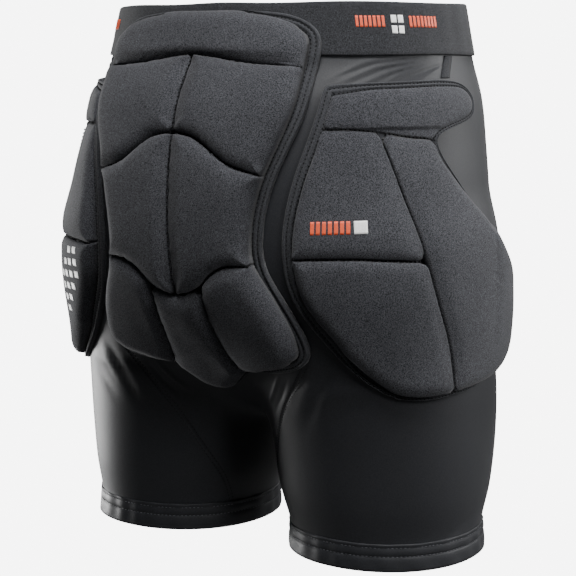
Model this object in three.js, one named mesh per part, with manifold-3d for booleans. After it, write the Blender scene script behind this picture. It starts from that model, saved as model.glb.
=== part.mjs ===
// Padded protective shorts in their worn form, open where the body and legs go.
// Millimetres. +Z up, +X the wearer's right, -Y the back. The origin is the middle of the waistband.
// The tailbone pad and the two hip pads are foam cells on cloth panels, lying on a stretch shell.
import * as THREE from 'three';
import { mergeVertices } from 'three/addons/utils/BufferGeometryUtils.js';
import Module from 'manifold-3d';

const wasm = await Module();
wasm.setup();

// overall sizes, mm
const shortsHeight = 414;
const bandHeight = 38;
const hipHalfWidth = 169;
const seatDepth = 137;
const bellyDepth = 109;
const thighHalfWidth = 84;

// cloth and foam thicknesses, mm
const shellWall = 1.5;
const bandWall = 2;
const panelWall = 2;
const bindingWall = 1.4;
const tapeWall = 1.1;
const bindingWidth = 7.5;
const tailFoam = 17;
const hipFoam = 12;

// clearances between pieces, mm
const clothGap = 0.3;
const foamGap = 0.6;
const bindingGap = 0.9;
const bandLap = 12;
const seamGap = 0.3;

// where the shell's panels meet: the side seams' depth and the thigh seams' share of the height
const sideSeamY = -6;
const thighSeamDown = 0.66;

// heights that follow from the sizes
const topZ = bandHeight / 2;
const bandBottomZ = topZ - bandHeight;
const downToZ = (down) => topZ - down * shortsHeight;

// the torso's outer face: down is a share of the height, the rest shares of the hip sizes
const torsoRows = [
  { down: 0.0, wide: 0.84, back: 0.695, front: 0.92 },
  { down: 0.1, wide: 0.88, back: 0.785, front: 0.955 },
  { down: 0.17, wide: 0.922, back: 0.9, front: 0.99 },
  { down: 0.255, wide: 0.953, back: 0.97, front: 1.0 },
  { down: 0.35, wide: 0.982, back: 1.0, front: 1.0 },
  { down: 0.44, wide: 1.0, back: 0.985, front: 0.99 },
  { down: 0.51, wide: 0.994, back: 0.927, front: 0.972 },
  { down: 0.58, wide: 0.947, back: 0.81, front: 0.917 },
  { down: 0.655, wide: 0.828, back: 0.642, front: 0.807 },
  { down: 0.74, wide: 0.592, back: 0.438, front: 0.55 },
  { down: 1.065, wide: 0.355, back: 0.292, front: 0.367 },
];

// each leg: out is the axis' distance from the middle, aft its shift to the back
const legRows = [
  { down: 0.305, out: 0.46, aft: 0.0, wide: 0.975, back: 1.143, front: 1.143 },
  { down: 0.5, out: 0.485, aft: 0.07, wide: 1.0, back: 1.18, front: 1.238 },
  { down: 0.62, out: 0.51, aft: 0.07, wide: 1.0, back: 1.13, front: 1.262 },
  { down: 0.715, out: 0.527, aft: 0.06, wide: 0.976, back: 1.06, front: 1.226 },
  { down: 0.8, out: 0.544, aft: 0.06, wide: 0.952, back: 1.0, front: 1.143 },
  { down: 0.885, out: 0.556, aft: 0.06, wide: 0.917, back: 0.952, front: 1.036 },
  { down: 0.94, out: 0.568, aft: 0.06, wide: 0.868, back: 0.9, front: 0.935 },
  { down: 0.955, out: 0.57, aft: 0.06, wide: 0.862, back: 0.887, front: 0.92 },
  { down: 1.0, out: 0.574, aft: 0.06, wide: 0.875, back: 0.893, front: 0.917 },
];

// how softly the ovals meet, and how square they are
const torsoSquareness = 2.25;
const legSquareness = 2.1;
const legBlend = 26;
const crotchBlend = 36;
const torsoEnd = { z: downToZ(0.732), blend: 30 };
const legStart = { z: downToZ(0.377), blend: 40 };

// pad outlines: turn in degrees from the centre back towards one side, down a share of the pad
const tailTopZ = downToZ(0.017);
const tailHeight = 286;
const tailOutline = [
  { turn: 0, down: 0.0 }, { turn: 18, down: 0.0 }, { turn: 32, down: 0.005 },
  { turn: 39, down: 0.015 }, { turn: 44, down: 0.035 }, { turn: 46.5, down: 0.06 },
  { turn: 46, down: 0.11 }, { turn: 42.5, down: 0.18 }, { turn: 39.5, down: 0.265 },
  { turn: 34.5, down: 0.35 }, { turn: 30.5, down: 0.435 }, { turn: 28.5, down: 0.51 },
  { turn: 27.8, down: 0.585 }, { turn: 29, down: 0.64 }, { turn: 34, down: 0.71 },
  { turn: 38.5, down: 0.775 }, { turn: 42, down: 0.835 }, { turn: 42, down: 0.87 },
  { turn: 38.5, down: 0.905 }, { turn: 30, down: 0.935 }, { turn: 20, down: 0.955 },
  { turn: 10, down: 0.967 }, { turn: 0, down: 0.97 },
];

// cells of one side of the tailbone pad; the top and low centre cells reach across the middle
const tailCells = {
  top: { across: true, points: [
    { turn: 0, down: 0.012 }, { turn: 18, down: 0.012 }, { turn: 31, down: 0.02 },
    { turn: 38.5, down: 0.04 }, { turn: 41, down: 0.07 }, { turn: 40.6, down: 0.11 },
    { turn: 38.6, down: 0.15 }, { turn: 28, down: 0.147 }, { turn: 17, down: 0.136 },
    { turn: 8, down: 0.125 }, { turn: 0, down: 0.119 },
  ] },
  upper: { across: false, points: [
    { turn: 0.4, down: 0.129 }, { turn: 8, down: 0.135 }, { turn: 17, down: 0.146 },
    { turn: 28, down: 0.157 }, { turn: 38.4, down: 0.161 }, { turn: 37.4, down: 0.22 },
    { turn: 35.2, down: 0.275 }, { turn: 32, down: 0.335 }, { turn: 28.8, down: 0.396 },
    { turn: 20.5, down: 0.382 }, { turn: 14, down: 0.342 }, { turn: 9.5, down: 0.318 },
    { turn: 5.5, down: 0.308 }, { turn: 0.4, down: 0.303 },
  ] },
  middle: { across: false, points: [
    { turn: 0.4, down: 0.313 }, { turn: 5.2, down: 0.318 }, { turn: 9, down: 0.328 },
    { turn: 13.4, down: 0.353 }, { turn: 20.2, down: 0.393 }, { turn: 27.6, down: 0.408 },
    { turn: 26.4, down: 0.45 }, { turn: 25, down: 0.51 }, { turn: 24.2, down: 0.56 },
    { turn: 24.8, down: 0.61 }, { turn: 20, down: 0.61 }, { turn: 14.5, down: 0.625 },
    { turn: 10, down: 0.655 }, { turn: 5.5, down: 0.682 }, { turn: 0.4, down: 0.692 },
  ] },
  low: { across: false, points: [
    { turn: 10.4, down: 0.7 }, { turn: 11.5, down: 0.67 }, { turn: 15, down: 0.64 },
    { turn: 20, down: 0.624 }, { turn: 25.6, down: 0.628 }, { turn: 28.5, down: 0.665 },
    { turn: 33.5, down: 0.735 }, { turn: 37.5, down: 0.8 }, { turn: 38.8, down: 0.845 },
    { turn: 36, down: 0.885 }, { turn: 28, down: 0.91 }, { turn: 21, down: 0.918 },
    { turn: 16.8, down: 0.89 }, { turn: 12.4, down: 0.81 },
  ] },
  tip: { across: true, points: [
    { turn: 0, down: 0.703 }, { turn: 6, down: 0.696 }, { turn: 9.2, down: 0.69 },
    { turn: 9.4, down: 0.735 }, { turn: 11.4, down: 0.81 }, { turn: 15.6, down: 0.895 },
    { turn: 17, down: 0.925 }, { turn: 9, down: 0.938 }, { turn: 0, down: 0.941 },
  ] },
};

const hipTopZ = downToZ(0.133);
const hipHeight = 230;
const hipOutline = [
  { turn: 45.5, down: 0.02 }, { turn: 55, down: 0.015 }, { turn: 66, down: 0.01 },
  { turn: 83, down: 0.0 }, { turn: 91, down: 0.03 }, { turn: 93.5, down: 0.085 },
  { turn: 90.5, down: 0.13 }, { turn: 81, down: 0.15 }, { turn: 74.5, down: 0.18 },
  { turn: 76, down: 0.235 }, { turn: 84, down: 0.35 }, { turn: 92.5, down: 0.465 },
  { turn: 99, down: 0.54 }, { turn: 110, down: 0.625 }, { turn: 115.5, down: 0.735 },
  { turn: 112.5, down: 0.85 }, { turn: 102, down: 0.94 }, { turn: 88, down: 0.98 },
  { turn: 78, down: 0.99 }, { turn: 70, down: 1.0 }, { turn: 62, down: 0.985 },
  { turn: 53.5, down: 0.912 }, { turn: 43.8, down: 0.785 }, { turn: 37, down: 0.69 },
  { turn: 34.5, down: 0.61 }, { turn: 33.4, down: 0.52 }, { turn: 34, down: 0.42 },
  { turn: 36.5, down: 0.3 }, { turn: 39.5, down: 0.212 }, { turn: 43.6, down: 0.09 },
];

const hipCells = {
  lobe: { points: [
    { turn: 47.5, down: 0.055 }, { turn: 56, down: 0.05 }, { turn: 67, down: 0.045 },
    { turn: 82, down: 0.036 }, { turn: 87.5, down: 0.055 }, { turn: 89.6, down: 0.085 },
    { turn: 87.6, down: 0.105 }, { turn: 79, down: 0.122 }, { turn: 71.5, down: 0.155 },
    { turn: 67, down: 0.166 }, { turn: 58.4, down: 0.15 }, { turn: 50.4, down: 0.142 },
    { turn: 44.6, down: 0.145 },
  ] },
  upper: { points: [
    { turn: 44, down: 0.162 }, { turn: 50.4, down: 0.158 }, { turn: 57.6, down: 0.166 },
    { turn: 59.6, down: 0.24 }, { turn: 62.4, down: 0.36 }, { turn: 66.4, down: 0.545 },
    { turn: 59, down: 0.538 }, { turn: 51.6, down: 0.531 }, { turn: 37.4, down: 0.531 },
    { turn: 38, down: 0.43 }, { turn: 40.2, down: 0.32 }, { turn: 42.5, down: 0.23 },
  ] },
  lower: { points: [
    { turn: 37.5, down: 0.547 }, { turn: 51.6, down: 0.547 }, { turn: 59, down: 0.554 },
    { turn: 66.8, down: 0.561 }, { turn: 69.4, down: 0.675 }, { turn: 74, down: 0.835 },
    { turn: 75.4, down: 0.95 }, { turn: 70, down: 0.962 }, { turn: 64, down: 0.945 },
    { turn: 57, down: 0.87 }, { turn: 47.4, down: 0.755 }, { turn: 40.8, down: 0.665 },
    { turn: 38.2, down: 0.6 },
  ] },
  side: { points: [
    { turn: 60.2, down: 0.17 }, { turn: 66, down: 0.186 }, { turn: 71.2, down: 0.2 },
    { turn: 73, down: 0.25 }, { turn: 81, down: 0.365 }, { turn: 89.4, down: 0.48 },
    { turn: 96, down: 0.56 }, { turn: 106, down: 0.64 }, { turn: 111, down: 0.715 },
    { turn: 111, down: 0.77 }, { turn: 108.6, down: 0.835 },
    { turn: 99, down: 0.908 }, { turn: 88, down: 0.942 }, { turn: 77.5, down: 0.955 },
    { turn: 76.2, down: 0.835 }, { turn: 71.4, down: 0.67 }, { turn: 69, down: 0.56 },
    { turn: 64.8, down: 0.36 },
  ] },
};

// the short tapes that hang the hip pads from the waistband: slanting strips
const tapeTop = { turn: 86.5, halfTurn: 2, z: bandBottomZ - clothGap };
const tapeBottom = { turn: 83, halfTurn: 2, z: hipTopZ + foamGap };

// how a cell swells: reach is the inset from its outline in mm, rise a share of the foam
const cellSteps = [
  { reach: 0.0, rise: 0.42 },
  { reach: 2.2, rise: 0.74 },
  { reach: 7.0, rise: 0.94 },
];
const cellCrown = { shrink: 0.5, rise: 1.0, middleRise: 1.02 };
const cellSink = 5;

// how finely the solids are faceted
const turnsAround = 36;
const crotchSteps = 5;
const marchStep = 4;
const bisections = 18;
const bodyReach = hipHalfWidth * 1.6;
const shellLevels = [0.17, 0.255, 0.35, 0.44, 0.52, 0.595, 0.665];
const legLevels = [0.8, 0.94, 1.0];
const stripStep = 16;
const wedgeReach = { least: 0.4, below: 8, above: 28, most: 1.9 };

// a smooth curve through a table's rows, read at a height
function readRow(rows, z, name) {
  const down = (topZ - z) / shortsHeight;
  const last = rows.length - 1;
  const held = Math.min(Math.max(down, rows[0].down), rows[last].down);
  let i = 0;
  while (i < last - 1 && rows[i + 1].down <= held) i += 1;
  const before = rows[Math.max(i - 1, 0)];
  const after = rows[Math.min(i + 2, last)];
  const from = rows[i];
  const to = rows[i + 1];
  const span = to.down - from.down;
  const t = (held - from.down) / span;
  const slopeFrom = (to[name] - before[name]) / (to.down - before.down) * span;
  const slopeTo = (after[name] - from[name]) / (after.down - from.down) * span;
  const t2 = t * t;
  const t3 = t2 * t;
  return (2 * t3 - 3 * t2 + 1) * from[name] + (t3 - 2 * t2 + t) * slopeFrom
    + (3 * t2 - 2 * t3) * to[name] + (t3 - t2) * slopeTo;
}

function softMin(a, b, reach) {
  const share = Math.max(reach - Math.abs(a - b), 0) / reach;
  return Math.min(a, b) - share * share * reach / 4;
}

function softMax(a, b, reach) {
  return -softMin(-a, -b, reach);
}

// roughly the distance outside an oval, negative inside
function ovalDistance(x, y, wide, deep, squareness) {
  const sum = (Math.abs(x) / wide) ** squareness + (Math.abs(y) / deep) ** squareness;
  return (sum ** (1 / squareness) - 1) * Math.min(wide, deep);
}

function torsoDistance(x, y, z) {
  const deep = y < 0 ? readRow(torsoRows, z, 'back') * seatDepth
    : readRow(torsoRows, z, 'front') * bellyDepth;
  const wide = readRow(torsoRows, z, 'wide') * hipHalfWidth;
  const side = ovalDistance(x, y, wide, deep, torsoSquareness);
  return softMax(side, torsoEnd.z - z, torsoEnd.blend);
}

function legDistance(x, y, z) {
  const fromAxis = x - readRow(legRows, z, 'out') * hipHalfWidth;
  const behind = y + readRow(legRows, z, 'aft') * thighHalfWidth;
  const wide = readRow(legRows, z, 'wide') * thighHalfWidth;
  const deep = readRow(legRows, z, behind < 0 ? 'back' : 'front') * thighHalfWidth;
  const side = ovalDistance(fromAxis, behind, wide, deep, legSquareness);
  return softMax(side, z - legStart.z, legStart.blend);
}

// the shorts' outer face is where this is zero
function bodyDistance(x, y, z) {
  const near = legDistance(Math.abs(x), y, z);
  const far = legDistance(-Math.abs(x), y, z);
  const legs = softMin(near, far, crotchBlend);
  return softMin(torsoDistance(x, y, z), legs, legBlend);
}

function outwards(p) {
  const h = 0.5;
  return new THREE.Vector3(
    bodyDistance(p.x + h, p.y, p.z) - bodyDistance(p.x - h, p.y, p.z),
    bodyDistance(p.x, p.y + h, p.z) - bodyDistance(p.x, p.y - h, p.z),
    bodyDistance(p.x, p.y, p.z + h) - bodyDistance(p.x, p.y, p.z - h),
  ).normalize();
}

// the first point of the outer face on a level line out from an axis
function facePoint(axisX, axisY, turn, z) {
  const dx = Math.sin(turn);
  const dy = -Math.cos(turn);
  const inside = (r) => bodyDistance(axisX + dx * r, axisY + dy * r, z) < 0;
  let outer = marchStep;
  while (outer < bodyReach && inside(outer)) outer += marchStep;
  let inner = outer - marchStep;
  for (let i = 0; i < bisections; i += 1) {
    const middle = (inner + outer) / 2;
    if (inside(middle)) inner = middle;
    else outer = middle;
  }
  return new THREE.Vector3(axisX + dx * inner, axisY + dy * inner, z);
}

// the crotch: the lowest point of the outer face at one depth in the middle plane
function crotchPoint(y, startZ) {
  let inner = startZ;
  let outer = startZ - bodyReach / 2;
  for (let i = 0; i < bisections; i += 1) {
    const middle = (inner + outer) / 2;
    if (bodyDistance(0, y, middle) < 0) inner = middle;
    else outer = middle;
  }
  return new THREE.Vector3(0, y, inner);
}

// cloth over the waistband is lifted clear of it
function bandLift(z) {
  const clear = clothGap + bandWall;
  const run = (z - (bandBottomZ - bandLap)) / bandLap;
  return clear * Math.min(Math.max(run, 0), 1);
}

// the shorts' outer face as rings of points: torso rings, then one leg's rings, then its mirror
function bodyRings(levels) {
  const torso = levels.map((z) => {
    const ring = [];
    for (let i = 0; i < turnsAround; i += 1) {
      ring.push(facePoint(0, 0, i / turnsAround * 2 * Math.PI, z));
    }
    return ring;
  });
  const split = torso[torso.length - 1];
  const half = turnsAround / 2;
  const back = split[0];
  const front = split[half];
  const bridge = [];
  for (let i = 1; i <= crotchSteps; i += 1) {
    const share = i / (crotchSteps + 1);
    const eased = (1 - Math.cos(share * Math.PI)) / 2;
    bridge.push(crotchPoint(front.y + (back.y - front.y) * eased, back.z + 1));
  }
  const legTop = [...split.slice(0, half + 1), ...bridge];
  const leg = [legTop];
  const start = legTop.map((p) => {
    const axisX = readRow(legRows, p.z, 'out') * hipHalfWidth;
    const axisY = -readRow(legRows, p.z, 'aft') * thighHalfWidth;
    return Math.atan2(p.x - axisX, -(p.y - axisY));
  });
  for (const down of legLevels) {
    const z = downToZ(down);
    const axisX = readRow(legRows, z, 'out') * hipHalfWidth;
    const axisY = -readRow(legRows, z, 'aft') * thighHalfWidth;
    leg.push(start.map((turn) => facePoint(axisX, axisY, turn, z)));
  }
  return { torso, leg, bridge };
}

const ringCache = new Map();

function ringsFrom(topLevels) {
  const key = topLevels.join(' ');
  if (!ringCache.has(key)) ringCache.set(key, bodyRings([...topLevels, ...shellLevels.map(downToZ)]));
  return ringCache.get(key);
}

// a growing list of corners and triangles
class Skin {
  constructor() {
    this.corners = [];
    this.faces = [];
  }

  add(p) {
    this.corners.push(p.x, p.y, p.z);
    return this.corners.length / 3 - 1;
  }

  triangle(a, b, c) {
    if (a !== b && b !== c && c !== a) this.faces.push(a, b, c);
  }

  quad(a, b, c, d) {
    this.triangle(a, b, c);
    this.triangle(a, c, d);
  }

  // joins two closed rings of equal length; the first one lies above
  band(upper, lower) {
    upper.forEach((corner, i) => {
      const next = (i + 1) % upper.length;
      this.quad(corner, lower[i], lower[next], upper[next]);
    });
  }

  fan(ring, point, up) {
    const middle = this.add(point);
    ring.forEach((corner, i) => {
      const next = ring[(i + 1) % ring.length];
      if (up) this.triangle(corner, next, middle);
      else this.triangle(next, corner, middle);
    });
  }

  solid() {
    const geometry = new THREE.BufferGeometry();
    geometry.setAttribute('position', new THREE.Float32BufferAttribute(this.corners, 3));
    geometry.setIndex(this.faces);
    return toManifold(geometry);
  }
}

function toManifold(geometry) {
  const bare = geometry.clone();
  bare.deleteAttribute('normal');
  bare.deleteAttribute('uv');
  const merged = mergeVertices(bare);
  return new wasm.Manifold(new wasm.Mesh({
    numProp: 3,
    vertProperties: new Float32Array(merged.attributes.position.array),
    triVerts: new Uint32Array(merged.index.array),
  }));
}

function toGeometry(solid) {
  const mesh = solid.getMesh();
  const geometry = new THREE.BufferGeometry();
  geometry.setAttribute('position', new THREE.BufferAttribute(new Float32Array(mesh.vertProperties), 3));
  geometry.setIndex(new THREE.BufferAttribute(new Uint32Array(mesh.triVerts), 1));
  const flat = geometry.toNonIndexed();
  flat.computeVertexNormals();
  return flat;
}

// the outer face pushed out or in by a distance; returns the rings of corner numbers
function layFace(skin, rings, offsetAt) {
  const laid = new Map();
  const lay = (p) => {
    if (!laid.has(p)) {
      const q = p.clone().addScaledVector(outwards(p), offsetAt(p.z));
      if (p.x === 0) q.x = 0;
      laid.set(p, skin.add(q));
    }
    return laid.get(p);
  };
  const torso = rings.torso.map((ring) => ring.map(lay));
  for (let i = 1; i < torso.length; i += 1) skin.band(torso[i - 1], torso[i]);
  const half = turnsAround / 2;
  const last = torso[torso.length - 1];
  const bridge = rings.bridge.map(lay);
  const right = rings.leg.slice(1).map((ring) => ring.map(lay));
  const left = rings.leg.slice(1).map((ring) => ring.map((p) => lay(p.clone().setX(-p.x))));
  const rightTop = [...last.slice(0, half + 1), ...bridge];
  const leftRing = [last[0], ...last.slice(half).reverse()];
  const leftTop = [...leftRing, ...bridge];
  [rightTop, ...right].forEach((ring, i, all) => {
    if (i > 0) skin.band(all[i - 1], ring);
  });
  [leftTop, ...left].forEach((ring, i, all) => {
    if (i > 0) skin.band([...all[i - 1]].reverse(), [...ring].reverse());
  });
  const ends = { top: torso[0], right: right[right.length - 1], left: [...left[left.length - 1]].reverse() };
  return ends;
}

function ringMiddle(skin, ring) {
  const sum = new THREE.Vector3();
  ring.forEach((corner) => sum.add(new THREE.Vector3().fromArray(skin.corners, corner * 3)));
  return sum.divideScalar(ring.length);
}

// the whole body as one closed lump, used to cut cloth layers to an even thickness
function bodyLump(offset) {
  const above = topZ + bandHeight / 2;
  const levels = [above, topZ, 0, bandBottomZ, bandBottomZ - bandLap];
  const rings = ringsFrom(levels);
  const skin = new Skin();
  const ends = layFace(skin, rings, (z) => offset + bandLift(z));
  skin.fan(ends.top, ringMiddle(skin, ends.top), true);
  skin.fan(ends.right, ringMiddle(skin, ends.right), false);
  skin.fan(ends.left, ringMiddle(skin, ends.left), false);
  return skin.solid();
}

const lumpCache = new Map();

function lump(offset) {
  const key = offset.toFixed(3);
  if (!lumpCache.has(key)) lumpCache.set(key, bodyLump(offset));
  return lumpCache.get(key);
}

// the stretch shell: one cloth wall from inside the waistband to both hems
function makeShell() {
  const shellTop = bandBottomZ + bandLap;
  const rings = ringsFrom([shellTop, bandBottomZ, bandBottomZ - bandLap]);
  const skin = new Skin();
  const outer = layFace(skin, rings, () => -clothGap);
  const outerFaces = skin.faces.length;
  const inner = layFace(skin, rings, () => -clothGap - shellWall);
  for (let i = outerFaces; i < skin.faces.length; i += 3) {
    [skin.faces[i], skin.faces[i + 1]] = [skin.faces[i + 1], skin.faces[i]];
  }
  skin.band(inner.top, outer.top);
  skin.band(outer.right, inner.right);
  skin.band(outer.left, inner.left);
  return skin.solid();
}

// one sewn panel of the shell: a quarter of the hips, or the front or back of a thigh
function shellPanel(shell, part, side, facing) {
  const half = seamGap / 2;
  const seamZ = downToZ(thighSeamDown);
  const sided = shell.trimByPlane([side, 0, 0], half);
  const faced = sided.trimByPlane([0, facing, 0], facing * sideSeamY + half);
  return part === 'hip' ? faced.trimByPlane([0, 0, 1], seamZ + half)
    : faced.trimByPlane([0, 0, -1], -seamZ + half);
}

// the waistband: an even elastic loop
function makeWaistband() {
  const skin = new Skin();
  const ringAt = (z, offset) => {
    const ring = [];
    for (let i = 0; i < turnsAround; i += 1) {
      const p = facePoint(0, 0, i / turnsAround * 2 * Math.PI, z);
      const out = outwards(p).setZ(0).normalize();
      ring.push(skin.add(p.addScaledVector(out, offset)));
    }
    return ring;
  };
  const levels = [topZ, 0, bandBottomZ];
  const outer = levels.map((z) => ringAt(z, bandWall));
  const inner = levels.map((z) => ringAt(z, 0));
  for (let i = 1; i < levels.length; i += 1) {
    skin.band(outer[i - 1], outer[i]);
    skin.band(inner[i], inner[i - 1]);
  }
  skin.band(inner[0], outer[0]);
  skin.band(outer[outer.length - 1], inner[inner.length - 1]);
  return skin.solid();
}

// an outline read in degrees and mm, for one side or across the middle
function placeOutline(points, padTop, padHeight, side, across) {
  const placed = points.map((p) => new THREE.Vector2(p.turn * side, padTop - p.down * padHeight));
  if (across) {
    const mirrored = placed.slice(1, -1).reverse().map((p) => new THREE.Vector2(-p.x, p.y));
    placed.push(...mirrored);
  }
  return THREE.ShapeUtils.isClockWise(placed) ? placed.reverse() : placed;
}

function flatScale(outline) {
  const middle = outline.reduce((sum, p) => sum.add(p), new THREE.Vector2()).divideScalar(outline.length);
  const turn = THREE.MathUtils.degToRad(middle.x);
  const face = facePoint(0, 0, turn, middle.y);
  return { middle, mmPerDegree: THREE.MathUtils.degToRad(Math.hypot(face.x, face.y)) };
}

// the outline moved inwards by a distance, square to its own edges
function insetOutline(outline, distance) {
  const { mmPerDegree } = flatScale(outline);
  return outline.map((p, i) => {
    const before = outline[(i + outline.length - 1) % outline.length];
    const after = outline[(i + 1) % outline.length];
    const edge = (a, b) => new THREE.Vector2(-(b.y - a.y), (b.x - a.x) * mmPerDegree).normalize();
    const inwards = edge(before, p).add(edge(p, after)).normalize();
    return new THREE.Vector2(p.x + inwards.x * distance / mmPerDegree, p.y + inwards.y * distance);
  });
}

// a wedge from near the axis out past the body, as wide and high as an outline
function outlineWedge(outline) {
  const skin = new Skin();
  const faces = outline.map((p) => facePoint(0, 0, THREE.MathUtils.degToRad(p.x), p.y));
  const ringAt = (offset, share) => faces.map((p) => {
    const q = p.clone().addScaledVector(outwards(p), offset);
    return skin.add(q.set(q.x * share, q.y * share, q.z));
  });
  const inner = ringAt(-wedgeReach.below, wedgeReach.least);
  const below = ringAt(-wedgeReach.below, 1);
  const above = ringAt(wedgeReach.above, 1);
  const outer = ringAt(wedgeReach.above, wedgeReach.most);
  skin.band(outer, above);
  skin.band(above, below);
  skin.band(below, inner);
  for (const [a, b, c] of THREE.ShapeUtils.triangulateShape(outline, [])) {
    skin.triangle(outer[a], outer[b], outer[c]);
    skin.triangle(inner[a], inner[c], inner[b]);
  }
  return skin.solid();
}

function clothPiece(outline, from, wall) {
  return outlineWedge(outline).intersect(lump(from + wall)).subtract(lump(from));
}

// two matching outlines with their long edges split, so a strip between them follows the curve
function splitTogether(edge, within) {
  const { mmPerDegree } = flatScale(edge);
  const split = { edge: [], within: [] };
  edge.forEach((p, i) => {
    const next = (i + 1) % edge.length;
    const long = Math.hypot((edge[next].x - p.x) * mmPerDegree, edge[next].y - p.y);
    const count = Math.max(Math.round(long / stripStep), 1);
    for (let k = 0; k < count; k += 1) {
      split.edge.push(p.clone().lerp(edge[next], k / count));
      split.within.push(within[i].clone().lerp(within[next], k / count));
    }
  });
  return split;
}

// an even strip of tape laid along the inside of an outline
function edgeStrip(outline, from, wall) {
  const skin = new Skin();
  const ringAt = (points, offset) => points.map((p) => {
    const face = facePoint(0, 0, THREE.MathUtils.degToRad(p.x), p.y);
    return skin.add(face.addScaledVector(outwards(face), offset + bandLift(p.y)));
  });
  const { edge, within } = splitTogether(outline, insetOutline(outline, bindingWidth));
  const edgeLow = ringAt(edge, from);
  const edgeHigh = ringAt(edge, from + wall);
  const withinHigh = ringAt(within, from + wall);
  const withinLow = ringAt(within, from);
  skin.band(edgeHigh, edgeLow);
  skin.band(withinHigh, edgeHigh);
  skin.band(withinLow, withinHigh);
  skin.band(edgeLow, withinLow);
  return skin.solid().subtract(lump(clothGap + panelWall + clothGap));
}

// a foam cell: the outline sunk below, rising steps, and a soft crown
function foamCell(outline, foam, bottom, keepInside) {
  const skin = new Skin();
  const { middle, mmPerDegree } = flatScale(outline);
  const place = (p, offset) => {
    const face = facePoint(0, 0, THREE.MathUtils.degToRad(p.x), p.y);
    return skin.add(face.addScaledVector(outwards(face), offset + bandLift(p.y)));
  };
  const pulled = (p, i, reach) => {
    const before = outline[(i + outline.length - 1) % outline.length];
    const after = outline[(i + 1) % outline.length];
    const along = new THREE.Vector2((after.x - before.x) * mmPerDegree, after.y - before.y).normalize();
    const inwards = new THREE.Vector2(-along.y, along.x);
    const toMiddle = new THREE.Vector2((middle.x - p.x) * mmPerDegree, middle.y - p.y);
    const away = toMiddle.length();
    const square = Math.max(inwards.dot(toMiddle) / away, 0.35);
    const share = Math.min(reach / square / away, 1 - cellCrown.shrink);
    return p.clone().lerp(middle, share);
  };
  const sunk = outline.map((p) => place(p, -cellSink));
  const rings = cellSteps.map((step) => outline.map((p, i) => (
    place(pulled(p, i, step.reach), bottom + foam * step.rise))));
  const crown = outline.map((p) => place(p.clone().lerp(middle, 1 - cellCrown.shrink * 0.9),
    bottom + foam * cellCrown.rise));
  const all = [sunk, ...rings, crown];
  for (let i = 1; i < all.length; i += 1) skin.band(all[i], all[i - 1]);
  const centre = place(middle, bottom + foam * cellCrown.middleRise);
  crown.forEach((corner, i) => skin.triangle(corner, crown[(i + 1) % crown.length], centre));
  for (const [a, b, c] of THREE.ShapeUtils.triangulateShape(outline, [])) {
    skin.triangle(sunk[a], sunk[c], sunk[b]);
  }
  return skin.solid().intersect(keepInside).subtract(lump(bottom));
}

// the finished looks of the pieces
const looks = {
  elastic: { color: 0x2e2f33, roughness: 0.85 },
  jersey: { color: 0x34353a, roughness: 0.7 },
  backing: { color: 0x303136, roughness: 0.8 },
  binding: { color: 0x3a3b40, roughness: 0.75 },
  tricot: { color: 0x3e4046, roughness: 0.9 },
};

const shorts = new THREE.Group();
shorts.name = 'tailbone_protector';

function addPiece(name, solid, look) {
  const material = new THREE.MeshStandardMaterial({ ...looks[look], metalness: 0 });
  material.name = look;
  const mesh = new THREE.Mesh(toGeometry(solid), material);
  mesh.name = name;
  shorts.add(mesh);
}

// a pad: its cloth panel, the binding along the panel's edge, and its cells
function addPad(name, outline, cells, foam, suffix) {
  const cellStart = panelWall + 2 * clothGap;
  const bindingStart = clothGap + panelWall + bindingGap;
  addPiece(`${name}_panel${suffix}`, clothPiece(outline, clothGap, panelWall), 'backing');
  addPiece(`${name}_binding${suffix}`, edgeStrip(outline, bindingStart, bindingWall), 'binding');
  const keepInside = outlineWedge(insetOutline(outline, bindingWidth + foamGap));
  for (const cell of cells) {
    addPiece(`${name}_cell_${cell.name}`, foamCell(cell.outline, foam, cellStart, keepInside), 'tricot');
  }
}

addPiece('waistband', makeWaistband(), 'elastic');
const bothSides = [{ end: '_right', side: 1 }, { end: '_left', side: -1 }];
const oneAcross = [{ end: '', side: 1 }];

const shell = makeShell();
for (const { end, side } of bothSides) {
  for (const part of ['hip', 'thigh']) {
    addPiece(`shell_${part}_back${end}`, shellPanel(shell, part, side, -1), 'jersey');
    addPiece(`shell_${part}_front${end}`, shellPanel(shell, part, side, 1), 'jersey');
  }
}

const tailPlaces = [];
for (const [name, cell] of Object.entries(tailCells)) {
  for (const { end, side } of cell.across ? oneAcross : bothSides) {
    const outline = placeOutline(cell.points, tailTopZ, tailHeight, side, cell.across);
    tailPlaces.push({ name: name + end, outline });
  }
}
addPad('tail', placeOutline(tailOutline, tailTopZ, tailHeight, 1, true), tailPlaces, tailFoam, '');

for (const { end, side } of bothSides) {
  const places = Object.entries(hipCells).map(([name, cell]) => (
    { name: name + end, outline: placeOutline(cell.points, hipTopZ, hipHeight, side, false) }));
  addPad('hip', placeOutline(hipOutline, hipTopZ, hipHeight, side, false), places, hipFoam, end);
  const strip = [
    new THREE.Vector2((tapeTop.turn - tapeTop.halfTurn) * side, tapeTop.z),
    new THREE.Vector2((tapeTop.turn + tapeTop.halfTurn) * side, tapeTop.z),
    new THREE.Vector2((tapeBottom.turn + tapeBottom.halfTurn) * side, tapeBottom.z),
    new THREE.Vector2((tapeBottom.turn - tapeBottom.halfTurn) * side, tapeBottom.z),
  ];
  const outline = THREE.ShapeUtils.isClockWise(strip) ? strip.reverse() : strip;
  addPiece(`hanger_tape${end}`, clothPiece(outline, clothGap, tapeWall), 'elastic');
}

export default shorts;
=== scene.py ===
import itertools
import math
import bpy
import bmesh
import numpy as np
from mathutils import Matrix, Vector
from mathutils.bvhtree import BVHTree


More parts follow.
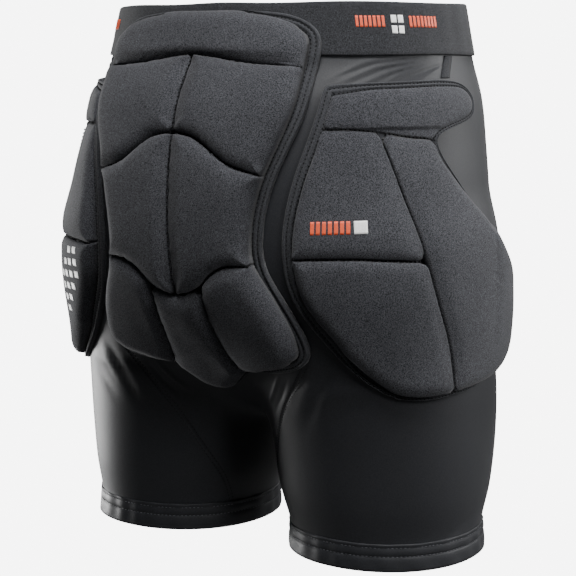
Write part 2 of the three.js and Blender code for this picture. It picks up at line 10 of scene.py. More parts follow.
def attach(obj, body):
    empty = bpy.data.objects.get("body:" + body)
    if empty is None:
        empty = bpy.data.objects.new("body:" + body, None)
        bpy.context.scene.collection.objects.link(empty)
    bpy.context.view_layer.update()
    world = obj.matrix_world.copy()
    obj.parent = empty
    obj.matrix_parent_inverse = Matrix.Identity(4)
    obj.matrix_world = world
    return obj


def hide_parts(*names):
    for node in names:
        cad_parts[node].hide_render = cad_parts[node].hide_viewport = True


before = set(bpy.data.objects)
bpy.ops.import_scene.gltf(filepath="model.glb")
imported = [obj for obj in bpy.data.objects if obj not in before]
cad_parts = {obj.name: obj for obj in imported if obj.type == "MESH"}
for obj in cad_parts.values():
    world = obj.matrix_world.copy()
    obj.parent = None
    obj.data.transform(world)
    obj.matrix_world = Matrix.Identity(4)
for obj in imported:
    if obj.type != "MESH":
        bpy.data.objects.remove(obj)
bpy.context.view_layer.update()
scene = bpy.context.scene

# sizes shared by every piece, in metres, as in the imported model
shorts = {
    "height": 0.414, "bandHeight": 0.038, "hipHalfWidth": 0.169,
    "seatDepth": 0.137, "bellyDepth": 0.109, "thighHalfWidth": 0.084,
    "clothGap": 0.0003, "bandWall": 0.002, "panelWall": 0.002, "bandLap": 0.012,
}
topZ = shorts["bandHeight"] / 2
bandBottomZ = -topZ
sides = ((1, "right"), (-1, "left"))


def columns(names, rows):
    # a small table: one array for each named column
    return {name: np.array([row[i] for row in rows], float) for i, name in enumerate(names)}


def zAt(down):
    return topZ - down * shorts["height"]


def between(value, start, end):
    # 0 before the start, 1 past the end and even in between, upwards or downwards
    return np.clip((value - start) / (end - start), 0, 1)


torsoRows = columns(("down", "wide", "back", "front"), [
    (0.0, 0.84, 0.695, 0.92), (0.1, 0.886, 0.785, 0.98), (0.17, 0.932, 0.9, 1.025),
    (0.255, 0.96, 0.97, 1.03), (0.35, 0.985, 1.0, 1.015), (0.44, 1.0, 0.985, 0.99),
    (0.51, 0.994, 0.927, 0.972), (0.58, 0.947, 0.81, 0.917), (0.655, 0.828, 0.642, 0.807),
    (0.74, 0.592, 0.438, 0.55), (1.065, 0.355, 0.292, 0.367)])
legRows = columns(("down", "out", "aft", "wide", "back", "front"), [
    (0.305, 0.46, 0.0, 0.975, 1.143, 1.143), (0.5, 0.485, 0.07, 1.0, 1.18, 1.238),
    (0.62, 0.51, 0.07, 1.005, 1.13, 1.27), (0.715, 0.527, 0.06, 1.0, 1.06, 1.27),
    (0.8, 0.544, 0.06, 0.975, 1.0, 1.2), (0.885, 0.556, 0.06, 0.932, 0.952, 1.08),
    (0.94, 0.568, 0.06, 0.868, 0.9, 0.935), (0.955, 0.57, 0.06, 0.862, 0.887, 0.92),
    (1.0, 0.574, 0.06, 0.875, 0.893, 0.917)])
joins = {"torsoSquareness": 2.25, "legSquareness": 2.1, "legBlend": 0.026, "crotchBlend": 0.036,
         "torsoEnd": zAt(0.732), "torsoEndBlend": 0.03, "legStart": zAt(0.377), "legStartBlend": 0.04}


def readRows(rows, names, z):
    # a smooth curve through the rows, read at many heights at once
    down = (topZ - z) / shorts["height"]
    held = np.clip(down, rows["down"][0], rows["down"][-1])
    last = len(rows["down"]) - 1
    i = np.clip(np.searchsorted(rows["down"], held, side="right") - 1, 0, last - 1)
    before, after = np.maximum(i - 1, 0), np.minimum(i + 2, last)
    d = rows["down"]
    span = d[i + 1] - d[i]
    t = (held - d[i]) / span
    t2, t3 = t * t, t * t * t
    read = []
    for name in names:
        v = rows[name]
        slopeFrom = (v[i + 1] - v[before]) / (d[i + 1] - d[before]) * span
        slopeTo = (v[after] - v[i]) / (d[after] - d[i]) * span
        read.append((2 * t3 - 3 * t2 + 1) * v[i] + (t3 - 2 * t2 + t) * slopeFrom
                    + (3 * t2 - 2 * t3) * v[i + 1] + (t3 - t2) * slopeTo)
    return read


def softMin(a, b, reach):
    share = np.maximum(reach - np.abs(a - b), 0) / reach
    return np.minimum(a, b) - share * share * reach / 4


def softMax(a, b, reach):
    return -softMin(-a, -b, reach)


def torsoSection(z):
    # an axis beside and behind the middle, a half width, and half depths behind and ahead of the axis
    wide, back, front = readRows(torsoRows, ("wide", "back", "front"), z)
    return 0, 0, wide * shorts["hipHalfWidth"], back * shorts["seatDepth"], front * shorts["bellyDepth"]


def legSection(z):
    out, *rest = readRows(legRows, ("out", "aft", "wide", "back", "front"), z)
    return out * shorts["hipHalfWidth"], *[share * shorts["thighHalfWidth"] for share in rest]


def ovalGap(x, y, section, squareness):
    out, aft, wide, back, front = section
    deep = np.where(y + aft < 0, back, front)
    squared = (np.abs(x - out) / wide) ** squareness + (np.abs(y + aft) / deep) ** squareness
    return (squared ** (1 / squareness) - 1) * np.minimum(wide, deep)


def bodyGap(p):
    # roughly the distance outside the shorts' outer face, negative inside
    x, y, z = p[..., 0], p[..., 1], p[..., 2]
    torso = ovalGap(x, y, torsoSection(z), joins["torsoSquareness"])
    torso = softMax(torso, joins["torsoEnd"] - z, joins["torsoEndBlend"])
    section = legSection(z)
    legs = []
    for side in (1, -1):
        leg = ovalGap(side * np.abs(x), y, section, joins["legSquareness"])
        legs.append(softMax(leg, z - joins["legStart"], joins["legStartBlend"]))
    return softMin(torso, softMin(*legs, joins["crotchBlend"]), joins["legBlend"])


def bodyNormal(p, step=0.0006):
    normal = np.stack([bodyGap(p + step * axis) - bodyGap(p - step * axis) for axis in np.eye(3)], -1)
    return normal / np.linalg.norm(normal, axis=-1, keepdims=True)


# how far out the face lies in each direction, as a starting guess for onBody
guess = {"turnStep": 3.0, "top": 0.035, "low": -0.29, "levelStep": 0.004,
         "near": 0.02, "far": 0.2, "step": 0.003}
mapTurns = np.radians(np.arange(-180, 181, guess["turnStep"]))
mapLevels = np.arange(guess["top"], guess["low"], -guess["levelStep"])
mapReach = np.full((len(mapLevels), len(mapTurns)), guess["near"])
stillInside = np.ones(mapReach.shape, bool)
for reach in np.arange(guess["near"], guess["far"], guess["step"]):
    spot = np.broadcast_arrays(np.sin(mapTurns) * reach, -np.cos(mapTurns) * reach, mapLevels[:, None])
    stillInside &= bodyGap(np.stack(spot, -1)) < 0
    mapReach[stillInside] = reach
search = {"rounds": 5, "probe": 0.0004, "leastSlope": 0.25, "longest": 0.006}


def closeIn(start, way, reach):
    # where lines from a start meet the face, from a guess of how far along them
    for _ in range(search["rounds"]):
        here = bodyGap(start + way * reach[..., None])
        slope = (bodyGap(start + way * (reach + search["probe"])[..., None]) - here) / search["probe"]
        step = here / np.maximum(slope, search["leastSlope"])
        reach = reach - np.clip(step, -search["longest"], search["longest"])
    return start + way * reach[..., None]


def onBody(turn, z):
    # the point of the face at a turn from the centre back and a height
    turn, z = np.broadcast_arrays(np.asarray(turn, float), np.asarray(z, float))
    u = np.clip((turn - mapTurns[0]) / (mapTurns[1] - mapTurns[0]), 0, len(mapTurns) - 1.001)
    v = np.clip((z - mapLevels[0]) / (mapLevels[1] - mapLevels[0]), 0, len(mapLevels) - 1.001)
    i, j = u.astype(int), v.astype(int)
    fu, fv = u - i, v - j
    reach = ((mapReach[j, i] * (1 - fu) + mapReach[j, i + 1] * fu) * (1 - fv)
             + (mapReach[j + 1, i] * (1 - fu) + mapReach[j + 1, i + 1] * fu) * fv)
    way = np.stack([np.sin(turn), -np.cos(turn), 0 * turn], -1)
    return closeIn(np.stack([0 * turn, 0 * turn, z], -1), way, reach)


def bandLift(z):
    # cloth over the waistband is lifted clear of it
    run = between(z, bandBottomZ - shorts["bandLap"], bandBottomZ)
    return (shorts["clothGap"] + shorts["bandWall"]) * run * run * (3 - 2 * run)


def lifted(face, offset):
    # points of the face raised by an offset and clear of the waistband, and the ways out of it there
    normal = bodyNormal(face)
    return face + normal * (offset + bandLift(face[..., 2]))[..., None], normal


def turnAndHeight(points):
    return np.arctan2(points[..., 0], -points[..., 1]), points[..., 2]


def softWaves(p, size, seed):
    # slow undulation between about -1 and 1, the same each run
    dice = np.random.default_rng(seed)
    total = np.zeros(p.shape[:-1])
    for _ in range(7):
        way = dice.normal(size=3)
        way *= math.tau / size / np.linalg.norm(way) * dice.uniform(0.6, 1.5)
        total += np.sin(p @ way + dice.uniform(0, 6.28))
    return total / 3.2


print("stage: body face ready")

# materials


def hexColour(code):
    srgb = [int(code[i:i + 2], 16) / 255 for i in (1, 3, 5)]
    return [c / 12.92 if c <= 0.04045 else ((c + 0.055) / 1.055) ** 2.4 for c in srgb] + [1.0]


def addNode(tree, kind, settings=(), inputs=(), links=()):
    # one node with its settings, its fixed inputs and its links from other nodes
    node = tree.nodes.new(kind)
    for name, value in dict(settings).items():
        setattr(node, name, value)
    for name, value in dict(inputs).items():
        node.inputs[name].default_value = value
    for name, (source, output) in dict(links).items():
        tree.links.new(source.outputs[output], node.inputs[name])
    return node


def newMaterial(name, shader):
    material = bpy.data.materials.new(name)
    material.use_nodes = True
    tree = material.node_tree
    tree.nodes.clear()
    principled = addNode(tree, "ShaderNodeBsdfPrincipled", inputs=shader)
    addNode(tree, "ShaderNodeOutputMaterial", {"name": "Material Output"},
            links={"Surface": (principled, "BSDF")})
    return material, tree, principled


def rampBetween(tree, source, low, high, dark, light):
    ramp = addNode(tree, "ShaderNodeValToRGB", links={"Fac": (source, "Fac")})
    for end, spot, colour in zip(ramp.color_ramp.elements, (low, high), (dark, light)):
        end.position = spot
        end.color = colour
    return ramp


def addSpecks(tree, shader, noise, span, dark, light):
    # fine specks between two tones give the shader its colour
    place = addNode(tree, "ShaderNodeTexCoord")
    speck = addNode(tree, "ShaderNodeTexNoise", inputs=noise, links={"Vector": (place, "Object")})
    colour = rampBetween(tree, speck, *span, dark, light)
    tree.links.new(colour.outputs["Color"], shader.inputs["Base Color"])
    return {"tree": tree, "shader": shader, "place": place, "speck": speck, "colour": colour}


def speckledCloth(name, look):
    # a cloth whose specks also raise its nap or weave through a bump
    material, tree, shader = newMaterial(name, {
        "Roughness": look["roughness"], "IOR": look["ior"], "Specular IOR Level": look["shine"],
        "Sheen Weight": look["sheen"], "Sheen Roughness": look["sheenSpread"]})
    noise = {"Scale": 1000 / look["speckMm"], "Detail": 2.0, "Roughness": look["grit"]}
    made = addSpecks(tree, shader, noise, look["span"], hexColour(look["dark"]), hexColour(look["pale"]))
    made["relief"] = addNode(tree, "ShaderNodeBump", links={"Height": (made["speck"], "Fac")},
                             inputs={"Strength": look["bump"], "Distance": look["relief"]})
    tree.links.new(made["relief"].outputs["Normal"], shader.inputs["Normal"])
    return material, made


# brushed polyester tricot: raised loops break the colour into pale and dark specks with no shine
tricotLook = {
    "pale": "#515257", "dark": "#070708", "speckMm": 0.75, "grit": 0.75, "span": (0.33, 0.7), "bump": 0.35,
    "relief": 0.0006, "roughness": 0.92, "ior": 1.5, "shine": 0.15, "sheen": 0.08, "sheenSpread": 0.55,
    "wearMm": 45, "wornDark": (0.86, 0.86, 0.87, 1), "wornPale": (1.08, 1.08, 1.08, 1),
}


def makeTricot():
    # slow patches of wear lighten and darken the specks
    material, made = speckledCloth("brushedPolyesterTricot", tricotLook)
    tree = made["tree"]
    wear = addNode(tree, "ShaderNodeTexNoise", inputs={"Scale": 1000 / tricotLook["wearMm"], "Detail": 3.0},
                   links={"Vector": (made["place"], "Object")})
    shade = rampBetween(tree, wear, 0.3, 0.75, tricotLook["wornDark"], tricotLook["wornPale"])
    mixed = addNode(tree, "ShaderNodeMix", {"data_type": "RGBA", "blend_type": "MULTIPLY"},
                    {0: 1.0}, {6: (made["colour"], "Color"), 7: (shade, "Color")})
    tree.links.new(mixed.outputs[2], made["shader"].inputs["Base Color"])
    return material


# nylon and elastane jersey: very fine even knit, smooth to the eye, with a soft silky gleam
jerseyLook = {
    "dark": "#1e1f22", "pale": "#28292c", "speckMm": 0.9, "grit": 0.6, "span": (0.3, 0.7), "bump": 0.12,
    "relief": 0.0003, "roughness": 0.55, "ior": 1.53, "shine": 0.22, "sheen": 0.06, "sheenSpread": 0.35,
}
# woven elastic: ribs along the loop over covered rubber, matte with small pale flecks
elasticLook = {
    "dark": "#08090a", "pale": "#3b3c40", "speckMm": 0.7, "grit": 0.7, "span": (0.34, 0.72), "bump": 0.25,
    "relief": 0.0004, "roughness": 0.85, "ior": 1.5, "shine": 0.2, "sheen": 0.06, "sheenSpread": 0.5,
    "ribMm": 2.4, "ribShare": 0.3,
}


def makeElastic():
    material, made = speckledCloth("wovenElastic", elasticLook)
    tree = made["tree"]
    # this node's bands lie a full turn over twenty times its scale apart
    rib = addNode(tree, "ShaderNodeTexWave", {"wave_type": "BANDS", "bands_direction": "Z"},
                  {"Scale": math.tau / 20 * 1000 / elasticLook["ribMm"], "Distortion": 0.4, "Detail": 1.0},
                  {"Vector": (made["place"], "Object")})
    both = addNode(tree, "ShaderNodeMath", {"operation": "MULTIPLY_ADD"}, {1: elasticLook["ribShare"]},
                   {0: (rib, "Fac"), 2: (made["speck"], "Fac")})
    tree.links.new(both.outputs["Value"], made["relief"].inputs["Height"])
    return material


# folded knit tape: closer and flatter than the pad cloth, so it reads a shade smoother
bindingLook = {
    "dark": "#1a1b1d", "pale": "#3f4044", "speckMm": 0.8, "grit": 0.6, "span": (0.3, 0.72), "bump": 0.25,
    "relief": 0.0004, "roughness": 0.82, "ior": 1.5, "shine": 0.2, "sheen": 0.08, "sheenSpread": 0.5,
}


def makePlain(name, colour, roughness):
    # thread and rubbery print: one even colour broken only by faint grain
    material, tree, shader = newMaterial(
        name, {"Roughness": roughness, "IOR": 1.5, "Specular IOR Level": 0.3})
    low = [c * 0.85 for c in hexColour(colour)[:3]] + [1]
    addSpecks(tree, shader, {"Scale": 900.0, "Detail": 2.0}, (0.3, 0.7), low, hexColour(colour))
    return material


tricot = makeTricot()
jersey = speckledCloth("stretchNylonJersey", jerseyLook)[0]
elastic = makeElastic()
bindingCloth = speckledCloth("knitBindingTape", bindingLook)[0]
darkThread = makePlain("polyesterThread", "#050506", 0.8)
paleThread = makePlain("paleHemThread", "#4c4d52", 0.6)
whitePrint = makePlain("whiteRubberPrint", "#f2f2f0", 0.5)
coralPrint = makePlain("coralRubberPrint", "#dc5836", 0.5)
print("stage: materials ready")

# making meshes


def readPoints(bm):
    return np.array([v.co[:] for v in bm.verts])


def writePoints(bm, points):
    for vert, p in zip(bm.verts, points):
        vert.co = p


def meshFrom(name, bm):
    mesh = bpy.data.meshes.new(name)
    bm.to_mesh(mesh)
    bm.free()
    return mesh


def addToScene(name, data):
    obj = bpy.data.objects.new(name, data)
    scene.collection.objects.link(obj)
    return obj


def makeObject(name, bm, material, nodes=()):
    for face in bm.faces:
        face.smooth = True
    mesh = meshFrom(name, bm)
    mesh.materials.append(material)
    obj = addToScene(name, mesh)
    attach(obj, "root")
    if nodes:
        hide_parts(*nodes)
    return obj


def softenVerts(bm, verts):
    bmesh.ops.smooth_vert(bm, verts=verts, factor=0.5, use_axis_x=True, use_axis_y=True, use_axis_z=True)


def giveWall(obj, thickness):
    # a wall that grows inwards from the outer face
    wall = obj.modifiers.new("wall", "SOLIDIFY")
    wall.thickness = thickness
    wall.offset = -1


def bentGrid(along, rows, place):
    # a grid bent into a tube or ring: place gives each corner from its share along and its row round
    bm = bmesh.new()
    bmesh.ops.create_grid(bm, x_segments=along, y_segments=rows, size=0.5)
    flat = readPoints(bm) + 0.5
    writePoints(bm, place(flat[:, 0], np.rint(flat[:, 1] * rows).astype(int) % rows))
    bmesh.ops.remove_doubles(bm, verts=bm.verts, dist=1e-6)
    bmesh.ops.recalc_face_normals(bm, faces=bm.faces)
    return bm


def loopAt(values, share):
    # reads a closed list of numbers at shares of its length
    spot = (share % 1.0) * len(values)
    i = np.floor(spot).astype(int) % len(values)
    f = spot - np.floor(spot)
    return values[i] * (1 - f) + values[(i + 1) % len(values)] * f


def readAlong(values, along, spots):
    # rows of numbers read at spots between their own places along a line
    return np.stack([np.interp(spots, along, column) for column in values.T], -1)


def evened(values, rounds):
    # a closed list of numbers or points, each drawn towards its two neighbours
    for _ in range(rounds):
        values = values * 0.5 + (np.roll(values, 1, 0) + np.roll(values, -1, 0)) * 0.25
    return values


# outlines: turn in degrees from the centre back, down a share of the pad's height
tailPad = {
    "top": zAt(0.017), "height": 0.286, "foam": 0.017, "shoulder": 0.012, "binding": 0.0078,
    "fullness": ((0, 0.25, 0.75, 0.95), (0.78, 1, 1, 0.8)),
    "outline": [(0, 0.0), (18, 0.0), (32, 0.005), (39, 0.015), (44, 0.035), (46.5, 0.06), (46, 0.11),
                (42.5, 0.18), (39.5, 0.265), (34.5, 0.35), (30.5, 0.435), (28.5, 0.51), (27.8, 0.585),
                (29, 0.64), (34, 0.71), (38.5, 0.775), (42, 0.835), (42, 0.87), (38.5, 0.9),
                (31, 0.916), (24, 0.91), (19, 0.914), (15, 0.938), (9, 0.962), (0, 0.97)],
}
tailCells = {
    "top": [
        (0, 0.012), (18, 0.012), (31, 0.02), (38.5, 0.04), (41, 0.07), (40.6, 0.11), (38.6, 0.15),
        (28, 0.147), (17, 0.136), (8, 0.125), (0, 0.119)],
    "upper": [
        (0.4, 0.129), (8, 0.135), (17, 0.146), (28, 0.157), (38.4, 0.161), (37.4, 0.22), (35.2, 0.275),
        (32, 0.335), (28.8, 0.396), (20.5, 0.382), (14, 0.342), (9.5, 0.318), (5.5, 0.308),
        (0.4, 0.303)],
    "middle": [
        (0.4, 0.313), (5.2, 0.318), (9, 0.328), (13.4, 0.353), (20.2, 0.393), (27.6, 0.408),
        (26.4, 0.45), (25, 0.51), (24.2, 0.56), (24.8, 0.61), (20, 0.61), (14.5, 0.625), (10, 0.655),
        (5.5, 0.682), (0.4, 0.692)],
    "low": [
        (10.4, 0.7), (11.5, 0.67), (15, 0.64), (20, 0.624), (25.6, 0.628), (28.5, 0.665), (33.5, 0.735),
        (37.5, 0.8), (38.8, 0.845), (36, 0.88), (29.5, 0.896), (23, 0.89), (17.8, 0.868),
        (12.4, 0.81)],
    "tip": [
        (0, 0.703), (6, 0.696), (9.2, 0.69), (9.4, 0.735), (11.4, 0.81), (14.6, 0.868), (15.6, 0.905),
        (12.5, 0.926), (7, 0.938), (0, 0.943)],
}
hipPad = {
    "top": zAt(0.133), "height": 0.23, "foam": 0.012, "shoulder": 0.010, "binding": 0.0078,
    "narrow": 0.003, "topExtra": 0.0022,
    "outline": [(45.5, 0.02), (55, 0.015), (66, 0.01), (83, 0.0), (91, 0.03), (93.5, 0.085),
                (90.5, 0.13), (81, 0.15), (74.5, 0.18), (76, 0.235), (84, 0.35), (92.5, 0.465),
                (99, 0.54), (110, 0.625), (115.5, 0.735), (112.5, 0.85), (102, 0.94), (88, 0.98),
                (78, 0.99), (70, 1.0), (62, 0.985), (53.5, 0.912), (43.8, 0.785), (37, 0.69),
                (34.5, 0.61), (33.4, 0.52), (34, 0.42), (36.5, 0.3), (39.5, 0.212), (43.6, 0.09)],
}
hipCells = {
    "lobe": [(47.5, 0.055), (56, 0.05), (67, 0.045), (82, 0.036), (88.5, 0.05), (91, 0.085),
             (88.6, 0.115), (79, 0.132), (72, 0.16), (67, 0.166), (58.4, 0.15), (50.4, 0.142),
             (44.6, 0.145)],
    "upper": [(44, 0.162), (50.4, 0.158), (57.6, 0.166), (59.6, 0.24), (62.4, 0.36), (66.4, 0.545),
              (59, 0.538), (51.6, 0.531), (37.4, 0.531), (38, 0.43), (40.2, 0.32), (42.5, 0.23)],
    "lower": [(37.5, 0.547), (51.6, 0.547), (59, 0.554), (66.8, 0.561), (69.4, 0.675), (74, 0.835),
              (75.4, 0.95), (70, 0.962), (64, 0.945), (57, 0.87), (47.4, 0.755), (40.8, 0.665),
              (38.2, 0.6)],
    "side": [(60.2, 0.17), (66, 0.186), (71.8, 0.2), (74, 0.25), (82, 0.365), (90.4, 0.48), (97, 0.56),
             (107, 0.64), (112.4, 0.715), (112.6, 0.77), (110, 0.835), (100, 0.912), (88, 0.946),
             (77.5, 0.957), (76.2, 0.835), (71.4, 0.67), (69, 0.56), (64.8, 0.36)],
}
meanReach = 0.14  # from the upright axis to the cloth, to compare turns with heights


def rounded(loop, sharpest):
    # gentle bends become curves, and bends sharper than the angle stay corners
    flat = loop * (meanReach, 1)
    into = flat - np.roll(flat, 1, 0)
    on = np.roll(flat, -1, 0) - flat
    bend = np.abs(np.arctan2(into[:, 0] * on[:, 1] - into[:, 1] * on[:, 0], (into * on).sum(1)))
    cut = []
    for i, here in enumerate(loop):
        if bend[i] > math.radians(sharpest):
            cut.append(here)
        else:
            cut += [here * 0.75 + loop[i - 1] * 0.25, here * 0.75 + loop[(i + 1) % len(loop)] * 0.25]
    return np.array(cut)


def placeOutline(points, pad, side, sharpest=34, softening=2, count=320):
    # an outline in radians and metres, its points evenly spaced along the cloth; one that starts at
    # the centre back goes on as its own mirror image
    loop = [(math.radians(turn) * side, pad["top"] - down * pad["height"]) for turn, down in points]
    if points[0][0] == 0:
        loop += [(-turn, z) for turn, z in loop[-2:0:-1]]
    loop = np.array(loop)
    for _ in range(3):
        loop = rounded(loop, sharpest)
    space = onBody(*loop.T)
    steps = np.linalg.norm(np.roll(space, -1, 0) - space, axis=1)
    along = np.concatenate([[0], np.cumsum(steps)])
    spots = np.linspace(0, along[-1], count, endpoint=False)
    even = readAlong(np.vstack([loop, loop[:1]]), along, spots)
    x, y = even[:, 0], even[:, 1]
    area = np.sum(x * np.roll(y, -1) - y * np.roll(x, -1))
    even = evened(even, softening)
    return even if area > 0 else even[::-1]


def insetLoop(loop, distance):
    # the outline moved inwards along the cloth; distance is one number or one for each point
    reach = np.linalg.norm(onBody(*loop.T)[:, :2], axis=1)
    flat = np.stack([loop[:, 0] * reach, loop[:, 1]], 1)
    edge = np.roll(flat, -1, 0) - np.roll(flat, 1, 0)
    inwards = np.stack([-edge[:, 1], edge[:, 0]], 1)
    inwards /= np.linalg.norm(inwards, axis=1, keepdims=True)
    moved = evened(flat + inwards * np.reshape(distance, (-1, 1)), 3)
    return np.stack([moved[:, 0] / reach, moved[:, 1]], 1)


def distanceTo(points, polyline, chunk=2000):
    # the shortest distance from each point to a line of points
    best = np.empty(len(points))
    for start in range(0, len(points), chunk):
        ways = points[start:start + chunk, None] - polyline[None]
        best[start:start + chunk] = np.sqrt((ways ** 2).sum(-1).min(1))
    return best


def swell(distance, reach, roundness):
    # a cushion's side: steep at the seam, rounding over to flat
    s = np.clip(distance / reach, 0, 1)
    return (1 - (1 - s) ** roundness) ** (1 / roundness)


# how high a cell's wall stands at its seams, as a share of the foam
ledges = {"edge": 0.16, "groove": 0.58, "centre": 0.7, "underLobe": 0.3, "shallow": 0.8}
grooves = {("upperRight", "upperLeft"): "centre", ("middleRight", "middleLeft"): "centre",
           ("lobe", "upper"): "underLobe", ("lobe", "side"): "underLobe",
           ("upper", "side"): "shallow", ("lower", "side"): "shallow"}


def ledgeBetween(one, other):
    return ledges[grooves.get((one, other), grooves.get((other, one), "groove"))]


# how cells grow: metres, and the least cosine that counts as ahead
fit = {"reach": 0.0095, "clearance": 0.0001, "most": 0.0046, "alone": 0.001, "overlap": 0.0004,
       "mostToEdge": 0.008, "cone": 0.62, "sight": 0.012}


def facingGap(here, outward, there):
    # the distance and way to the nearest point, and whether it lies ahead of the outline point
    way = there[None] - here[:, None]
    gap = np.linalg.norm(way, axis=2)
    facing = (way * outward[:, None]).sum(2) > fit["cone"] * gap
    nearest = np.where(facing, gap, 1.0).argmin(1)
    rows = np.arange(len(here))
    least = gap[rows, nearest]
    ahead = facing[rows, nearest] & (least < fit["sight"])
    return least, way[rows, nearest] / np.maximum(least, 1e-6)[:, None], ahead


def fitCells(cells, border):
    # grows each outline until it nearly meets its neighbours and the binding's inner edge
    spots = {key: onBody(*cell["loop"].T) for key, cell in cells.items()}
    edge = onBody(*border.T)
    for key, cell in cells.items():
        here = spots[key]
        outward = np.cross(np.roll(here, -1, 0) - np.roll(here, 1, 0), bodyNormal(here))
        outward /= np.linalg.norm(outward, axis=1, keepdims=True)
        if ((here - here.mean(0)) * outward).sum() < 0:
            outward = -outward
        ledge = np.full(len(here), ledges["edge"])
        grow = outward * fit["alone"]
        nearest = np.full(len(here), fit["reach"])
        seam = np.full(len(here), -1)
        towards = np.zeros((len(here), 3))
        for number, (other, there) in enumerate(spots.items()):
            if other == key:
                continue
            gap, way, ahead = facingGap(here, outward, there)
            closer = ahead & (gap < nearest)
            growth = np.clip((gap - fit["clearance"]) / 2, 0, fit["most"])
            grow[closer] = (way * growth[:, None])[closer]
            ledge[closer] = ledgeBetween(key, other)
            nearest[closer] = gap[closer]
            seam[closer] = number
            towards[closer] = way[closer]
        gap, way, ahead = facingGap(here, outward, edge)
        grow[ahead & (seam < 0)] = 0
        # beside a neighbour the outline only slides along their seam
        beside = way - towards * (way * towards).sum(1, keepdims=True)
        growth = np.clip(gap + fit["overlap"], 0, fit["mostToEdge"])
        grow[ahead] += (beside * growth[:, None])[ahead]
        moved = here + evened(grow, 2)
        for _ in range(2):
            moved = np.where((seam < 0)[:, None], evened(moved, 1), moved)
        cell["ledge"] = evened(ledge, 6)
        cell["seam"] = seam
        cell["grown"] = np.stack(turnAndHeight(moved), 1)


def padShares(pad, turn, z):
    # how far down the pad, as a share of its height, and how many degrees round from the centre back
    return (pad["top"] - z) / pad["height"], np.abs(np.degrees(turn))


def tailFoam(turn, z):
    # the tailbone foam thins over the waistband and towards its tip
    down, _ = padShares(tailPad, turn, z)
    return tailPad["foam"] * np.interp(down, *tailPad["fullness"])


# shares of the hip foam's height, and where they hold as shares down and degrees round
hipFoamShape = {"lobe": 0.32, "lobeEnd": 0.15, "least": 0.15, "fullFrom": 0.48, "bulge": 0.9,
                "front": (92, 114), "frontLoss": 0.62, "low": (0.5, 0.85), "lowGain": 0.5}


def hipFoam(turn, z):
    # the hip foam is thin in the lobe, full over the hip bone and thinner towards the front edge
    down, turned = padShares(hipPad, turn, z)
    shape = hipFoamShape
    swelling = between(down, shape["lobeEnd"], shape["fullFrom"]) ** shape["bulge"]
    full = np.where(down < shape["lobeEnd"], shape["lobe"], shape["least"] + (1 - shape["least"]) * swelling)
    gain = shape["lowGain"] * between(down, *shape["low"])
    return hipPad["foam"] * full * (1 - shape["frontLoss"] * between(turned, *shape["front"]) * (1 - gain))


# a cell's ball and its skin: reaches and sizes in metres, heights as shares of the foam
cushion = {
    "around": 160, "rings": 52, "spread": 1.15, "ledgeReach": 0.002, "highLedge": 0.66,
    "highRoundness": 1.15, "lowRoundness": 2.1, "crown": 0.06, "crownReach": 0.02, "wave": 0.02,
    "waveSize": 0.05, "pucker": 0.045, "puckerReach": 0.004, "puckerSize": 0.006, "softPast": 0.003,
    "breadth": ((0.2, 0.65), (1.1, 0.875)),
}


def makeCushion(name, cell, pad, base, seed):
    # a foam cell: a sphere laid on the outline, flat below, crowned above
    loop = cell["grown"]
    bm = bmesh.new()
    bmesh.ops.create_uvsphere(bm, u_segments=cushion["around"], v_segments=cushion["rings"], radius=1)
    ball = readPoints(bm)
    share = (np.arctan2(ball[:, 1], ball[:, 0]) / math.tau) % 1.0
    polar = np.arcsin(np.clip(np.linalg.norm(ball[:, :2], axis=1), 0, 1)) / (math.pi / 2)
    out = 1 - (1 - polar) ** cushion["spread"]
    middle = loop.mean(0)
    turn, z = [middle[k] + (loopAt(loop[:, k], share) - middle[k]) * out for k in (0, 1)]
    face = onBody(turn, z)
    gaps = np.linalg.norm(face[:, None] - onBody(*loop.T)[None], axis=2)
    edgeGap = gaps.min(1)
    pull = np.exp(-(gaps - edgeGap[:, None]) / cushion["ledgeReach"])
    ledge = (pull * cell["ledge"][None]).sum(1) / pull.sum(1)
    high = ledge > cushion["highLedge"]
    # a shoulder is broader beside a low ledge than beside a groove
    shoulder = pad["shoulder"] * np.where(high, 1.0, np.interp(ledge, *cushion["breadth"]))
    roundness = np.where(high, cushion["highRoundness"], cushion["lowRoundness"])
    rise = ledge + (1 - ledge) * swell(edgeGap, shoulder, roundness)
    crown = 1 - cushion["crown"] * np.exp(-edgeGap / cushion["crownReach"])
    pucker = cushion["pucker"] * softWaves(face, cushion["puckerSize"], seed + 40)
    skin = pucker * np.exp(-edgeGap / cushion["puckerReach"])
    skin = skin + cushion["wave"] * softWaves(face, cushion["waveSize"], seed)
    above = ball[:, 2] > 1e-4
    foam = pad["foamAt"](turn, z) * rise * (crown + skin)
    writePoints(bm, lifted(face, base + np.where(above, foam, 0))[0])
    soft = [v for v, d, up in zip(bm.verts, edgeGap, above) if up and d > cushion["softPast"]]
    for _ in range(3):
        softenVerts(bm, soft)
    bmesh.ops.recalc_face_normals(bm, faces=bm.faces)
    obj = makeObject(name, bm, tricot, [cell["node"]])
    return obj


# one stitch is a small capsule: each kind's length, the pitch of its row and its thickness
stitches = {"edge": (0.0018, 0.0031, 0.0012), "groove": (0.0018, 0.0031, 0.0015),
            "hem": (0.0022, 0.0032, 0.0006), "inseam": (0.0021, 0.003, 0.0006)}


